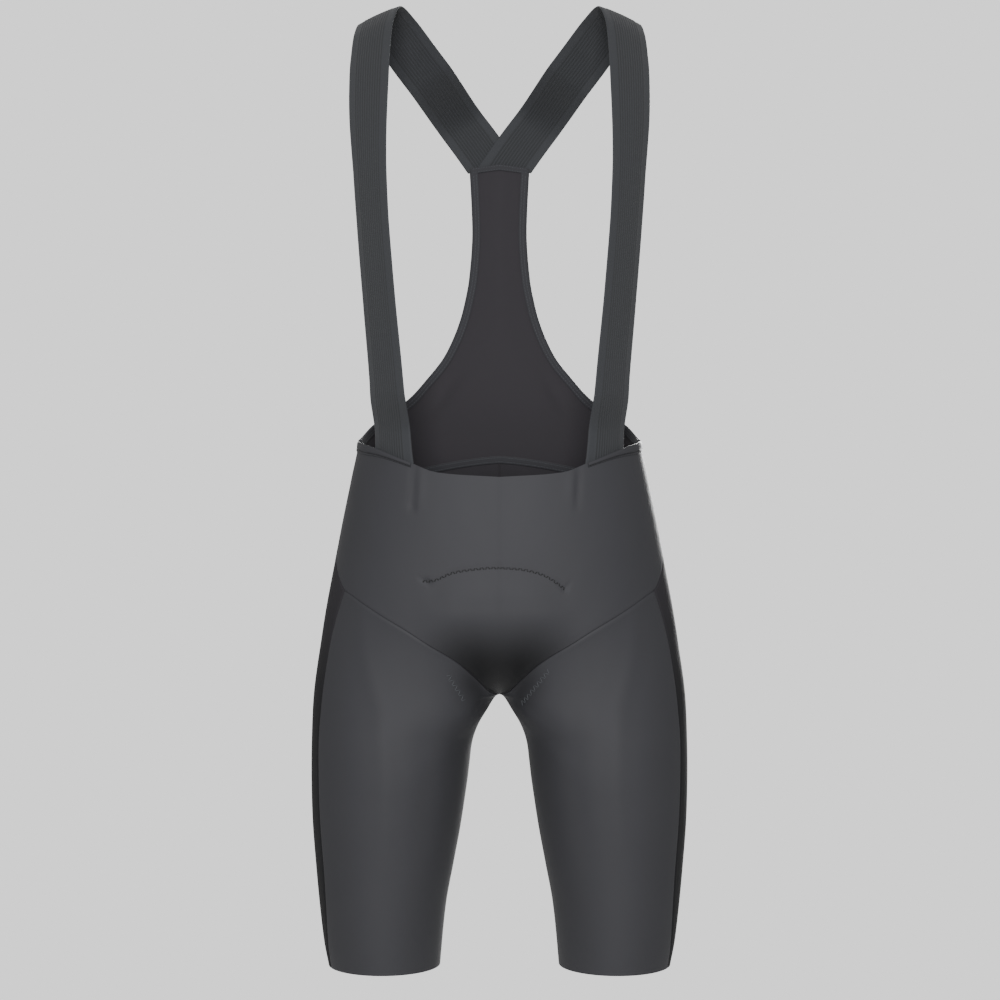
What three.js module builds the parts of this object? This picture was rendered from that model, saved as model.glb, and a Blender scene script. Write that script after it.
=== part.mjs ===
// Cycling bib shorts, as worn by a general figure that isn't there: hollow, open at the legs, arms and neck.
// Millimetres, +Z up. The front faces -Y and the wearer's left is +X.
// Heights in the tables are measured up from the leg hems. The origin is midway between the shoulders,
// level with the underside of the straps where they lie on them.

import * as THREE from 'three';

const SHOULDER_HEIGHT = 900;
const CROTCH_HEIGHT = 256;
const PARTING_HEIGHT = 340;
const THIGH_PARTED_HEIGHT = 170;
// How far round from the centre line the crotch's arch and its early parting fade out.
const ARCH_REACH = 0.12;
const EARLY_PARTING_REACH = 0.25;
// Away from the inseam the gap between the thighs opens gently, over this height below the crotch.
const GAP_SOFTENING = 40;
const INSEAM_REACH = 0.2;

const KNIT_WALL = 1.6;
const BIB_WALL = 1.2;
const TAPE_WALL = 0.9;
const STRAP_WALL = 1.6;
const SEAM_GAP = 0.3;
const TIP_TRIM = 0.6;

const STRAP_WIDTH = 47;
const RIB_COUNT = 11;
const RIB_PITCH = 2.9;
const RIB_RISE = 0.5;
const BINDING_WIDTH = 6.5;
const BINDING_START = 5;
const BINDING_STOP = 6.5;

// How square the body's sections are: 1 is an ellipse, less is squarer.
const SECTION_POWER = 0.92;
// How slowly the leg's lines leave the inseam, so that they spread evenly round the crotch.
const INSEAM_EASE = 0.04;

// Half width of the garment, and how far its front and back stand off the side seams' plane.
const BODY = [
  { height: 0, half: 162.0, front: 66, back: 62 },
  { height: 22, half: 166.3, front: 69, back: 65 },
  { height: 60, half: 170.8, front: 74, back: 70 },
  { height: 98, half: 174.3, front: 79, back: 75 },
  { height: 136, half: 177.2, front: 84, back: 80 },
  { height: 174, half: 178.3, front: 88, back: 85 },
  { height: 212, half: 178.1, front: 92, back: 91 },
  { height: 256, half: 176.2, front: 96, back: 101 },
  { height: 300, half: 170.4, front: 101, back: 116 },
  { height: 340, half: 164.0, front: 104, back: 122 },
  { height: 380, half: 156.4, front: 105, back: 116 },
  { height: 420, half: 148.8, front: 103, back: 103 },
  { height: 461, half: 140.4, front: 99, back: 92 },
  { height: 497, half: 133.6, front: 96, back: 86 },
  { height: 540, half: 134.0, front: 96, back: 84 },
  { height: 600, half: 142.0, front: 96, back: 92 },
  { height: 660, half: 152.0, front: 96, back: 104 },
  { height: 720, half: 158.0, front: 96, back: 112 },
  { height: 780, half: 158.0, front: 96, back: 113 },
  { height: 860, half: 150.0, front: 96, back: 106 },
];

// The gap between the thighs: its half width squared, for each millimetre below the crotch.
const THIGH_GAP = [
  { height: 0, rate: 12.4 },
  { height: 60, rate: 12.9 },
  { height: 98, rate: 11.8 },
  { height: 136, rate: 10.9 },
  { height: 174, rate: 11.3 },
  { height: 193, rate: 12.6 },
  { height: 215, rate: 15.0 },
  { height: 231, rate: 13.7 },
  { height: 245, rate: 9.4 },
  { height: 256, rate: 7.0 },
];

// The pointed seam of the front panel, from the crotch to the side. Round is the way round the body:
// 0 at the centre front, 0.5 at the side and 1 at the centre back.
const POINTED_SEAM = [
  { height: 256, round: 0 },
  { height: 260, round: 0.030 },
  { height: 265, round: 0.046 },
  { height: 277, round: 0.075 },
  { height: 292, round: 0.101 },
  { height: 304, round: 0.126 },
  { height: 321, round: 0.170 },
  { height: 337, round: 0.237 },
  { height: 350, round: 0.307 },
  { height: 356, round: 0.348 },
  { height: 366, round: 0.385 },
  { height: 378, round: 0.432 },
  { height: 388, round: 0.480 },
  { height: 394, round: 0.510 },
];
const SIDE_ROUND = 0.51;
const SIDE_SEAM_FOOT = 394;

// The front edge of the darker side panel, from the hem to where it meets the pointed seam.
const SIDE_PANEL_EDGE = [
  { height: 0, round: 0.445 },
  { height: 30, round: 0.431 },
  { height: 65, round: 0.421 },
  { height: 100, round: 0.419 },
  { height: 174, round: 0.425 },
  { height: 212, round: 0.425 },
  { height: 240, round: 0.420 },
  { height: 265, round: 0.410 },
  { height: 300, round: 0.392 },
  { height: 326, round: 0.374 },
  { height: 356, round: 0.348 },
];
const PANELS_MEET_HEIGHT = 356;

// The waist's front edge dips at the centre and rises to the sides.
const FRONT_TOP = [
  { round: 0, height: 461 },
  { round: 0.127, height: 465.5 },
  { round: 0.19, height: 474 },
  { round: 0.305, height: 487 },
  { round: 0.42, height: 493.5 },
  { round: 0.51, height: 496 },
];
const SIDE_TOP_HEIGHT = 496;

// The seam between the seat and the bib's back: an arch, low at the sides.
const SEAT_TOP = 480;
const SEAT_TOP_SIDE = 435;
const SEAT_ARCH_POWER = 1.3;

// The bib's back, row by row: its bound edge, and how far its centre line is above that edge.
const BIB_EDGE = [
  { height: 496, half: 133.6, bow: -16 },
  { height: 512, half: 120.5, bow: 2 },
  { height: 537, half: 88.7, bow: 10 },
  { height: 557, half: 71.0, bow: 10 },
  { height: 577, half: 55.4, bow: 8 },
  { height: 597, half: 44.8, bow: 5 },
  { height: 617, half: 37.5, bow: 3 },
  { height: 637, half: 32.6, bow: 2 },
  { height: 658, half: 28.9, bow: 1 },
  { height: 698, half: 25.8, bow: 0.5 },
  { height: 730, half: 26.4, bow: 1 },
  { height: 769, half: 28.5, bow: 4 },
];
const BIB_TOP_EDGE = 769;
// How many rows up the bib still follow the corner of its two lower seams.
const BIB_CORNER_ROWS = 9;

// The straps' route from the waist over the shoulder to the joint at the back, for the wearer's left.
// The last three columns point across the strap to its neck edge, and cuts divides the stretch to the next row.
const STRAP_ROUTE = [
  { x: 98.0, y: -71.5, height: 463, toX: -0.8, toY: -0.6, toZ: 0, cuts: 1 },
  { x: 99.8, y: -71.5, height: 480, toX: -0.78, toY: -0.62, toZ: 0, cuts: 1 },
  { x: 101.2, y: -72.5, height: 500, toX: -0.74, toY: -0.67, toZ: 0, cuts: 1 },
  { x: 104.2, y: -76.5, height: 550, toX: -0.68, toY: -0.73, toZ: 0, cuts: 1 },
  { x: 110.7, y: -80.5, height: 624, toX: -0.655, toY: -0.755, toZ: 0, cuts: 1 },
  { x: 116.4, y: -84.5, height: 697, toX: -0.65, toY: -0.76, toZ: 0, cuts: 1 },
  { x: 119.0, y: -85.0, height: 745, toX: -0.675, toY: -0.74, toZ: 0, cuts: 1 },
  { x: 120.5, y: -78.0, height: 785, toX: -0.73, toY: -0.68, toZ: 0, cuts: 1 },
  { x: 121.0, y: -62.0, height: 822, toX: -0.77, toY: -0.64, toZ: 0.02, cuts: 1 },
  { x: 120.6, y: -42.0, height: 856, toX: -0.78, toY: -0.61, toZ: 0.08, cuts: 2 },
  { x: 118.0, y: -19.0, height: 887, toX: -0.79, toY: -0.58, toZ: 0.18, cuts: 2 },
  { x: 112.5, y: 4.0, height: 900.5, toX: -0.83, toY: -0.46, toZ: 0.29, cuts: 2 },
  { x: 100.0, y: 25.0, height: 888.5, toX: -0.89, toY: -0.24, toZ: 0.38, cuts: 2 },
  { x: 82.0, y: 42.0, height: 866, toX: -0.87, toY: -0.15, toZ: 0.47, cuts: 2 },
  { x: 62.0, y: 61.0, height: 842, toX: -0.84, toY: -0.14, toZ: 0.53, cuts: 2 },
  { x: 43.0, y: 82.0, height: 819, toX: -0.8, toY: -0.2, toZ: 0.56, cuts: 2 },
  { x: 25.0, y: 100.0, height: 796, toX: -0.8, toY: -0.12, toZ: 0.57, cuts: 2 },
  { x: 12.0, y: 110.0, height: 778, toX: -0.8, toY: -0.07, toZ: 0.59, cuts: 2 },
  { x: 1.0, y: 113.0, height: 762, toX: -0.8, toY: -0.06, toZ: 0.59, cuts: 3 },
  { x: -20.0, y: 114.0, height: 734, toX: -0.8, toY: -0.06, toZ: 0.59, cuts: 0 },
];
const STRAP_END_HEIGHT = 765.3;
const STRAP_CROWN_BOW = 1.2;
// The strap lies flat behind the panel's cloth, whose facets it clears by a little more than a seam's gap.
// Inboard is how much wider the cloth's face is there than the strap's own route.
const FOOT_CLEARANCE = 1.4;
const FOOT_INBOARD = 2.8;
const FOOT_LET_GO = { from: 500, to: 540 };
// The straps come to lie on the back's surface between these heights, one over the other at their joint.
const JOINT_TAKE_UP = { from: 850, to: 806 };
const UPPER_STRAP_LIFT = STRAP_WALL + RIB_RISE + SEAM_GAP;
// From this row of the route the strap's rings slant towards its level cut end.
const SLANT_START_ROW = 14;
const LAST_RING_SPACING = 0.3;

// The turned hem bands at the sides of the waist narrow towards the straps.
const HEM_BAND = { from: 0.19, to: 0.495, startHeight: 4, endHeight: 9, widensTo: 0.4 };

// A tape on the inner face over the straps' joint, and one over the seat's upper seam. The second stops short
// of the side seams, and clears the facets of both cloths that it covers.
const YOKE_TAPE_HEIGHT = 5;
const YOKE_TAPE_RISE = 0.6;
const SEAM_TAPE_HEIGHT = 7;
const SEAM_TAPE_REACH = 0.96;
const SEAM_TAPE_CLEARANCE = 0.5;

// How many cells the panels' grids have along each seam. Panels that share a seam share its points.
const CELLS = {
  pointedSeam: 10,
  hipSeam: 6,
  sideSeam: 6,
  bibSide: 5,
  leg: 18,
  seat: 12,
  bibEdge: 14,
};
// How much the rows of each grid crowd together at one end, where the cloth turns fastest. 1 is even.
const PACKING = {
  crotch: 2,
  pointedSeam: 1.4,
  leg: 1.5,
  seat: 1.6,
  bib: 1.5,
};
const SEAT_ARCH_ROWS = 6;
const SEAM_TRIM = SEAM_GAP / 2;

function colour(hex, roughness) {
  return new THREE.MeshStandardMaterial({ color: hex, roughness, metalness: 0 });
}

const FRONT_KNIT = colour(0x4a4b4e, 0.75);
const SIDE_KNIT = colour(0x26282a, 0.85);
const BIB_MESH = colour(0x433f41, 0.9);
const STRAP_ELASTIC = colour(0x454a4e, 0.8);
const BINDING_TAPE = colour(0x222426, 0.8);

// Joins the rows of a table with one smooth curve, and gives a column's value at any place along it.
function smooth(table, key, column) {
  const at = table.map((row) => row[key]);
  const value = table.map((row) => row[column]);
  const last = table.length - 1;
  const slope = value.map((_, i) => {
    const before = Math.max(i - 1, 0);
    const after = Math.min(i + 1, last);
    return (value[after] - value[before]) / (at[after] - at[before]);
  });
  return (place) => {
    const x = Math.min(Math.max(place, at[0]), at[last]);
    let i = 0;
    while (i < last - 1 && x > at[i + 1]) i += 1;
    const span = at[i + 1] - at[i];
    const t = (x - at[i]) / span;
    const rise = value[i + 1] - value[i];
    const startBend = slope[i] * span - rise;
    const endBend = rise - slope[i + 1] * span;
    return value[i] + t * rise + t * (1 - t) * ((1 - t) * startBend + t * endBend);
  };
}

const bodyHalf = smooth(BODY, 'height', 'half');
const bodyFront = smooth(BODY, 'height', 'front');
const bodyBack = smooth(BODY, 'height', 'back');
const thighRate = smooth(THIGH_GAP, 'height', 'rate');
const pointedSeamRound = smooth(POINTED_SEAM, 'height', 'round');
const sidePanelRound = smooth(SIDE_PANEL_EDGE, 'height', 'round');
const frontTop = smooth(FRONT_TOP, 'round', 'height');
const bibHalf = smooth(BIB_EDGE, 'height', 'half');
const bibBow = smooth(BIB_EDGE, 'height', 'bow');

function mix(from, to, share) {
  return from + (to - from) * share;
}

function eased(value, from, to) {
  const t = Math.min(Math.max((value - from) / (to - from), 0), 1);
  return t * t * (3 - 2 * t);
}

function power(value, exponent) {
  return Math.sign(value) * Math.abs(value) ** exponent;
}

// How far round its own leg a line is, from the inseam and back to it.
function legShare(round) {
  if (round > 0.5) return 1 - legShare(1 - round);
  if (round < 0) return -legShare(-round);
  return ((round * round) / (round + INSEAM_EASE)) * ((0.5 + INSEAM_EASE) / 0.5);
}

function fromCentreLine(round) {
  return Math.min(Math.abs(round), Math.abs(1 - round));
}

// Half the gap between the thighs: a round arch at the inseam.
function thighGap(round, height) {
  const arch = Math.sqrt(Math.max(thighRate(height) * (CROTCH_HEIGHT - height), 0));
  const soft = arch * eased(CROTCH_HEIGHT - height, 0, GAP_SOFTENING);
  return mix(arch, soft, eased(fromCentreLine(round), 0, INSEAM_REACH));
}

// How far the trunk has parted into a leg: a round arch at the centre line, and a long soft change outside it.
function parting(round, height) {
  const fromCentre = fromCentreLine(round);
  const end = mix(CROTCH_HEIGHT, THIGH_PARTED_HEIGHT, eased(fromCentre, 0, EARLY_PARTING_REACH));
  const fall = Math.min(Math.max((PARTING_HEIGHT - height) / (PARTING_HEIGHT - end), 0), 1);
  const arch = 1 - Math.sqrt(1 - fall * fall);
  const soft = fall * fall * (3 - 2 * fall);
  return mix(arch, soft, eased(fromCentre, 0, ARCH_REACH));
}

// A point on the garment's outer face, for the wearer's left side.
function bodyPoint(round, height) {
  const turn = Math.PI * round;
  const ahead = power(Math.cos(turn), SECTION_POWER);
  const trunkX = bodyHalf(height) * power(Math.sin(turn), SECTION_POWER);
  const trunkY = -ahead * (ahead > 0 ? bodyFront(height) : bodyBack(height));
  if (height >= PARTING_HEIGHT) return new THREE.Vector3(trunkX, trunkY, height);
  const legTurn = 2 * Math.PI * legShare(round);
  const inner = thighGap(round, height);
  const outer = bodyHalf(height);
  const legAhead = Math.sin(legTurn);
  const legX = (inner + outer) / 2 - ((outer - inner) / 2) * Math.cos(legTurn);
  const legY = -legAhead * (legAhead > 0 ? bodyFront(height) : bodyBack(height));
  const parted = parting(round, height);
  return new THREE.Vector3(mix(trunkX, legX, parted), mix(trunkY, legY, parted), height);
}

function bodyNormal(round, height) {
  const fromCrotch = Math.abs(height - CROTCH_HEIGHT);
  if (fromCrotch < 0.3 && fromCentreLine(round) < 0.004) return new THREE.Vector3(0, 0, -1);
  const up = Math.min(Math.max(fromCrotch * 0.1, 0.02), 2);
  const aside = 0.004;
  const across = bodyPoint(round + aside, height).sub(bodyPoint(round - aside, height));
  const along = bodyPoint(round, height + up).sub(bodyPoint(round, height - up));
  return across.cross(along).normalize();
}

// One closed wall from an outer grid of points and the matching inner grid.
function wallGeometry(outer, inner) {
  const rows = outer.length;
  const columns = outer[0].length;
  const index = (row, column, side) => (side * rows + row) * columns + column;
  const faces = [];
  const quad = (a, b, c, d) => faces.push(a, b, c, a, c, d);
  for (let r = 0; r < rows - 1; r += 1) {
    for (let c = 0; c < columns - 1; c += 1) {
      quad(index(r, c, 0), index(r, c + 1, 0), index(r + 1, c + 1, 0), index(r + 1, c, 0));
      quad(index(r, c, 1), index(r + 1, c, 1), index(r + 1, c + 1, 1), index(r, c + 1, 1));
    }
  }
  for (let c = 0; c < columns - 1; c += 1) {
    quad(index(0, c, 1), index(0, c + 1, 1), index(0, c + 1, 0), index(0, c, 0));
    const top = rows - 1;
    quad(index(top, c, 0), index(top, c + 1, 0), index(top, c + 1, 1), index(top, c, 1));
  }
  for (let r = 0; r < rows - 1; r += 1) {
    quad(index(r, 0, 0), index(r + 1, 0, 0), index(r + 1, 0, 1), index(r, 0, 1));
    const end = columns - 1;
    quad(index(r, end, 1), index(r + 1, end, 1), index(r + 1, end, 0), index(r, end, 0));
  }
  return facedOutwards([...outer.flat(), ...inner.flat()], faces);
}

// One closed solid from matching rings of points, with its two ends filled.
function sweptGeometry(rings, outline) {
  const around = outline.length;
  const faces = [];
  for (let r = 0; r < rings.length - 1; r += 1) {
    for (let p = 0; p < around; p += 1) {
      const next = (p + 1) % around;
      const a = r * around + p;
      const b = r * around + next;
      faces.push(a, b, b + around, a, b + around, a + around);
    }
  }
  const last = (rings.length - 1) * around;
  const anticlockwise = !THREE.ShapeUtils.isClockWise(outline);
  for (const [a, b, c] of THREE.ShapeUtils.triangulateShape(outline, [])) {
    if (anticlockwise) faces.push(a, c, b, last + a, last + b, last + c);
    else faces.push(a, b, c, last + a, last + c, last + b);
  }
  return facedOutwards(rings.flat(), faces);
}

function facedOutwards(points, faces) {
  const triple = new THREE.Vector3();
  let volume = 0;
  for (let i = 0; i < faces.length; i += 3) {
    const [a, b, c] = [points[faces[i]], points[faces[i + 1]], points[faces[i + 2]]];
    volume += triple.crossVectors(a, b).dot(c);
  }
  if (volume < 0) faces.reverse();
  const geometry = new THREE.BufferGeometry().setFromPoints(points);
  geometry.setIndex(faces);
  geometry.computeVertexNormals();
  return geometry;
}

const garment = new THREE.Group();
garment.name = 'cycling_bib_shorts';
garment.position.z = -SHOULDER_HEIGHT;

function addPiece(name, geometry, material) {
  const piece = new THREE.Mesh(geometry, material);
  piece.name = name;
  garment.add(piece);
  return piece;
}

// A cut piece of cloth on the body. Places holds rows of { round, height, side }, and side is 1 for the
// wearer's left and -1 for the right. Trim is how far each edge stays back from its seam line.
function cutPanel(places, wall, { lift = 0, trim = {} } = {}) {
  const rows = places.length;
  const columns = places[0].length;
  const points = places.map((row) => row.map(({ round, height, side }) => {
    const point = bodyPoint(round, height);
    point.x *= side;
    return point;
  }));
  const normals = places.map((row) => row.map(({ round, height, side }) => {
    const normal = bodyNormal(round, height);
    normal.x *= side;
    return normal;
  }));
  const drawnBack = points.map((row) => row.map((point) => point.clone()));
  const drawBack = (r, c, dr, dc, alongR, alongC, distance) => {
    const before = points[Math.max(r - alongR, 0)][Math.max(c - alongC, 0)];
    const after = points[Math.min(r + alongR, rows - 1)][Math.min(c + alongC, columns - 1)];
    const edge = after.clone().sub(before).normalize();
    const inwards = points[r + dr][c + dc].clone().sub(points[r][c]);
    inwards.addScaledVector(edge, -inwards.dot(edge)).normalize();
    drawnBack[r][c].addScaledVector(inwards, distance);
  };
  const { foot = 0, top = 0, start = 0, end = 0, tip = null } = trim;
  for (let c = 0; c < columns; c += 1) {
    const footTrim = tip === c ? TIP_TRIM : foot;
    if (footTrim) drawBack(0, c, 1, 0, 0, 1, footTrim);
    if (top) drawBack(rows - 1, c, -1, 0, 0, 1, top);
  }
  for (let r = 0; r < rows; r += 1) {
    if (start) drawBack(r, 0, 0, 1, 1, 0, start);
    if (end) drawBack(r, columns - 1, 0, -1, 1, 0, end);
  }
  const outer = drawnBack.map((row, r) => row.map((point, c) => (
    point.clone().addScaledVector(normals[r][c], lift))));
  const inner = outer.map((row, r) => row.map((point, c) => (
    point.clone().addScaledVector(normals[r][c], -wall))));
  return { outer, inner, normals };
}

// The panels' shared seam points.
function pointedSeamPlace(step) {
  const height = mix(CROTCH_HEIGHT, PANELS_MEET_HEIGHT, (step / CELLS.pointedSeam) ** PACKING.pointedSeam);
  return { round: pointedSeamRound(height), height };
}

function hipSeamPlace(step) {
  const height = mix(PANELS_MEET_HEIGHT, SIDE_SEAM_FOOT, step / CELLS.hipSeam);
  return { round: pointedSeamRound(height), height };
}

function sideSeamPlace(step) {
  const height = mix(SIDE_SEAM_FOOT, SEAT_TOP_SIDE, step / CELLS.sideSeam);
  return { round: SIDE_ROUND, height };
}

function bibSidePlace(step) {
  const height = mix(SEAT_TOP_SIDE, SIDE_TOP_HEIGHT, step / CELLS.bibSide);
  return { round: SIDE_ROUND, height };
}

function seatSeamPlace(share) {
  const height = SEAT_TOP - (SEAT_TOP - SEAT_TOP_SIDE) * share ** SEAT_ARCH_POWER;
  return { round: 1 - (1 - SIDE_ROUND) * share, height };
}

function legRowShare(row) {
  return 1 - (1 - row / CELLS.leg) ** PACKING.leg;
}

function sidePanelEdgePlace(row) {
  const height = PANELS_MEET_HEIGHT * legRowShare(row);
  return { round: sidePanelRound(height), height };
}

function inseamHeight(row) {
  return CROTCH_HEIGHT * legRowShare(row);
}

function frontFootPlaces() {
  const places = [];
  for (let i = 0; i <= CELLS.pointedSeam; i += 1) places.push(pointedSeamPlace(i));
  for (let i = 1; i <= CELLS.hipSeam; i += 1) places.push(hipSeamPlace(i));
  return places;
}

function frontPanelPlaces() {
  const foot = frontFootPlaces();
  const side = [];
  for (let i = 0; i <= CELLS.sideSeam; i += 1) side.push(sideSeamPlace(i));
  for (let i = 1; i <= CELLS.bibSide; i += 1) side.push(bibSidePlace(i));
  const last = foot.length - 1;
  const sideSpan = SIDE_TOP_HEIGHT - SIDE_SEAM_FOOT;
  return side.map((sidePlace, row) => {
    const even = (sidePlace.height - SIDE_SEAM_FOOT) / sideSpan;
    const share = row / (side.length - 1);
    const half = foot.map((place, column) => {
      const outward = eased(column, 0, last);
      const climb = mix(share ** PACKING.crotch, even, outward);
      return { round: place.round, height: mix(place.height, frontTop(place.round), climb) };
    });
    const left = half.map((place) => ({ ...place, side: 1 }));
    const right = half.slice(1).reverse().map((place) => ({ ...place, side: -1 }));
    return [...right, ...left];
  });
}

function legPanelPlaces(side) {
  const hemRound = sidePanelRound(0);
  const rows = [];
  for (let row = 0; row <= CELLS.leg; row += 1) {
    const v = legRowShare(row);
    const edge = sidePanelEdgePlace(row);
    const places = [];
    for (let step = 0; step <= CELLS.pointedSeam; step += 1) {
      const u = step / CELLS.pointedSeam;
      const top = pointedSeamPlace(step);
      const corner = mix(hemRound, pointedSeamRound(PANELS_MEET_HEIGHT), v);
      const round = mix(hemRound * u, top.round, v) + u * (edge.round - corner);
      const height = v * top.height + mix(inseamHeight(row), edge.height, u)
        - v * mix(CROTCH_HEIGHT, PANELS_MEET_HEIGHT, u);
      places.push({ round, height, side });
    }
    rows.push(places);
  }
  return rows;
}

function backPanelPlaces(side) {
  const rows = [];
  const addRow = (edge, centreHeight) => {
    const places = [];
    for (let step = 0; step <= CELLS.seat; step += 1) {
      const u = step / CELLS.seat;
      const height = mix(edge.height, centreHeight, u);
      places.push({ round: mix(edge.round, 1, u), height, side });
    }
    rows.push(places);
  };
  for (let row = 0; row <= CELLS.leg; row += 1) addRow(sidePanelEdgePlace(row), inseamHeight(row));
  const upper = CELLS.hipSeam + CELLS.sideSeam;
  for (let row = 1; row <= upper; row += 1) {
    const edge = row <= CELLS.hipSeam ? hipSeamPlace(row) : sideSeamPlace(row - CELLS.hipSeam);
    addRow(edge, mix(CROTCH_HEIGHT, SEAT_TOP, (row / upper) ** PACKING.seat));
  }
  // The top rows bend up into the arch of the seat's upper seam.
  rows.forEach((places, row) => {
    const share = eased(row, rows.length - 1 - SEAT_ARCH_ROWS, rows.length - 1);
    places.forEach((place, step) => {
      const u = step / CELLS.seat;
      const straight = mix(SEAT_TOP_SIDE, SEAT_TOP, u);
      place.height += share * (seatSeamPlace(1 - u).height - straight);
    });
  });
  return rows;
}

// The bib's lowest row runs out along the seat seam and turns up the side seam.
function bibFootPlace(step) {
  if (step <= CELLS.seat) return seatSeamPlace(step / CELLS.seat);
  return bibSidePlace(step - CELLS.seat);
}

function bibEdgeHeight(row) {
  return mix(SIDE_TOP_HEIGHT, BIB_TOP_EDGE, (row / CELLS.bibEdge) ** PACKING.bib);
}

function bibEdgePlace(row) {
  const height = bibEdgeHeight(row);
  const sine = Math.min(bibHalf(height) / bodyHalf(height), 1) ** (1 / SECTION_POWER);
  return { round: Math.max(1 - Math.asin(sine) / Math.PI, SIDE_ROUND), height };
}

// Rows of the bib's left half, from the centre line to the bound edge. The lower ones follow the seams' corner.
function bibPlace(row, share) {
  const edge = bibEdgePlace(row);
  const centre = edge.height + bibBow(edge.height);
  const columns = CELLS.seat + CELLS.bibSide;
  const foot = bibFootPlace(share * columns);
  const corner = bibEdgePlace(0);
  const footCentre = corner.height + bibBow(corner.height);
  const follow = 1 - eased(row, 0, BIB_CORNER_ROWS);
  const round = mix(1, edge.round, share) + follow * (foot.round - mix(1, corner.round, share));
  const height = mix(centre, edge.height, share)
    + follow * (foot.height - mix(footCentre, corner.height, share));
  return { round, height };
}

function bibPoint(row, share) {
  const { round, height } = bibPlace(row, share);
  return bodyPoint(round, height);
}

// The share of a row that the folded binding covers, measured square to the edge.
function bibEdgeStrip(row) {
  const step = 0.02;
  const edge = bibPoint(row, 1);
  const inboard = edge.clone().sub(bibPoint(row, 1 - step));
  const along = bibPoint(Math.min(row + 0.5, CELLS.bibEdge), 1)
    .sub(bibPoint(Math.max(row - 0.5, 0), 1)).normalize();
  const square = inboard.clone().addScaledVector(along, -inboard.dot(along)).length();
  return (BINDING_WIDTH / square) * step;
}

function bibRowPlaces(row) {
  const columns = CELLS.seat + CELLS.bibSide;
  const inner = row === 0 ? (columns - 1) / columns : 1 - bibEdgeStrip(row);
  const half = [];
  for (let column = 0; column < columns; column += 1) {
    half.push(bibPlace(row, (inner * column) / (columns - 1)));
  }
  half.push(bibPlace(row, 1));
  const left = half.map((place) => ({ ...place, side: 1 }));
  const right = half.slice(1).reverse().map((place) => ({ ...place, side: -1 }));
  return [...right, ...left];
}

function bibPlaces() {
  const rows = [];
  for (let row = 0; row <= CELLS.bibEdge; row += 1) rows.push(bibRowPlaces(row));
  return rows;
}

const tipColumn = CELLS.pointedSeam + CELLS.hipSeam;

const frontPanel = cutPanel(frontPanelPlaces(), KNIT_WALL, {
  trim: { foot: SEAM_TRIM, start: SEAM_TRIM, end: SEAM_TRIM, tip: tipColumn },
});
addPiece('front_panel', wallGeometry(frontPanel.outer, frontPanel.inner), FRONT_KNIT);

for (const [sideName, side] of [['left', 1], ['right', -1]]) {
  const trim = { top: SEAM_TRIM, start: SEAM_TRIM, end: SEAM_TRIM };
  const leg = cutPanel(legPanelPlaces(side), KNIT_WALL, { trim });
  addPiece(`leg_panel_${sideName}`, wallGeometry(leg.outer, leg.inner), FRONT_KNIT);
  const back = cutPanel(backPanelPlaces(side), KNIT_WALL, { trim });
  addPiece(`back_panel_${sideName}`, wallGeometry(back.outer, back.inner), SIDE_KNIT);
}

const bibRows = bibPlaces();
const bib = cutPanel(bibRows, BIB_WALL, { trim: { foot: SEAM_TRIM, start: SEAM_TRIM, end: SEAM_TRIM } });
addPiece('bib_back', wallGeometry(bib.outer, bib.inner), BIB_MESH);

// The folded tape that binds the bib's edge: its section across the edge, with the cloth in its fold.
function bindingSection() {
  const innerFace = SEAM_GAP;
  const outerFace = SEAM_GAP + TAPE_WALL;
  const back = -BIB_WALL;
  return [
    [-BINDING_WIDTH, innerFace],
    [-BINDING_WIDTH, outerFace],
    [0, outerFace],
    [outerFace, 0],
    [outerFace, back],
    [0, back - outerFace],
    [-BINDING_WIDTH, back - outerFace],
    [-BINDING_WIDTH, back - innerFace],
    [innerFace, back - innerFace],
    [innerFace, innerFace],
  ].map(([across, off]) => new THREE.Vector2(across, off));
}

function edgeBinding(side) {
  const outline = bindingSection();
  const column = side > 0 ? bib.outer[0].length - 1 : 0;
  const inboardColumn = side > 0 ? column - 1 : 1;
  const last = bib.outer.length - 1;
  const rings = bib.outer.map((points, row) => {
    const along = bib.outer[Math.min(row + 1, last)][column].clone()
      .sub(bib.outer[Math.max(row - 1, 0)][column]).normalize();
    const nudge = row === 0 ? BINDING_START : 0;
    const shift = along.multiplyScalar(row === last ? -BINDING_STOP : nudge);
    const edge = points[column].clone().add(shift);
    const inboard = points[inboardColumn].clone().add(shift);
    if (row === 0) inboard.lerpVectors(edge, inboard, BINDING_WIDTH / edge.distanceTo(inboard));
    const across = edge.clone().sub(inboard).normalize();
    return outline.map(({ x, y }) => {
      const onEdge = x >= 0;
      const foot = onEdge ? edge.clone().addScaledVector(across, x) : inboard.clone();
      return foot.addScaledVector(bib.normals[row][onEdge ? column : inboardColumn], y);
    });
  });
  return sweptGeometry(rings, outline);
}

addPiece('edge_binding_left', edgeBinding(1), BINDING_TAPE);
addPiece('edge_binding_right', edgeBinding(-1), BINDING_TAPE);

// The hem bands' columns are the front panel's own, so that their facets match.
function waistHemPlaces(side) {
  const { from, to, startHeight, endHeight, widensTo } = HEM_BAND;
  const spare = 0.01;
  const rounds = [from];
  for (const { round } of frontFootPlaces()) {
    if (round > from + spare && round < to - spare) rounds.push(round);
  }
  rounds.push(to);
  return [1, 0].map((drop) => rounds.map((round) => {
    const height = mix(startHeight, endHeight, eased(round, from, widensTo));
    return { round, height: frontTop(round) - drop * height, side };
  }));
}

for (const [sideName, side] of [['left', 1], ['right', -1]]) {
  const band = cutPanel(waistHemPlaces(side), TAPE_WALL, { lift: TAPE_WALL + SEAM_GAP });
  addPiece(`waist_hem_${sideName}`, wallGeometry(band.outer, band.inner), FRONT_KNIT);
}

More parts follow.
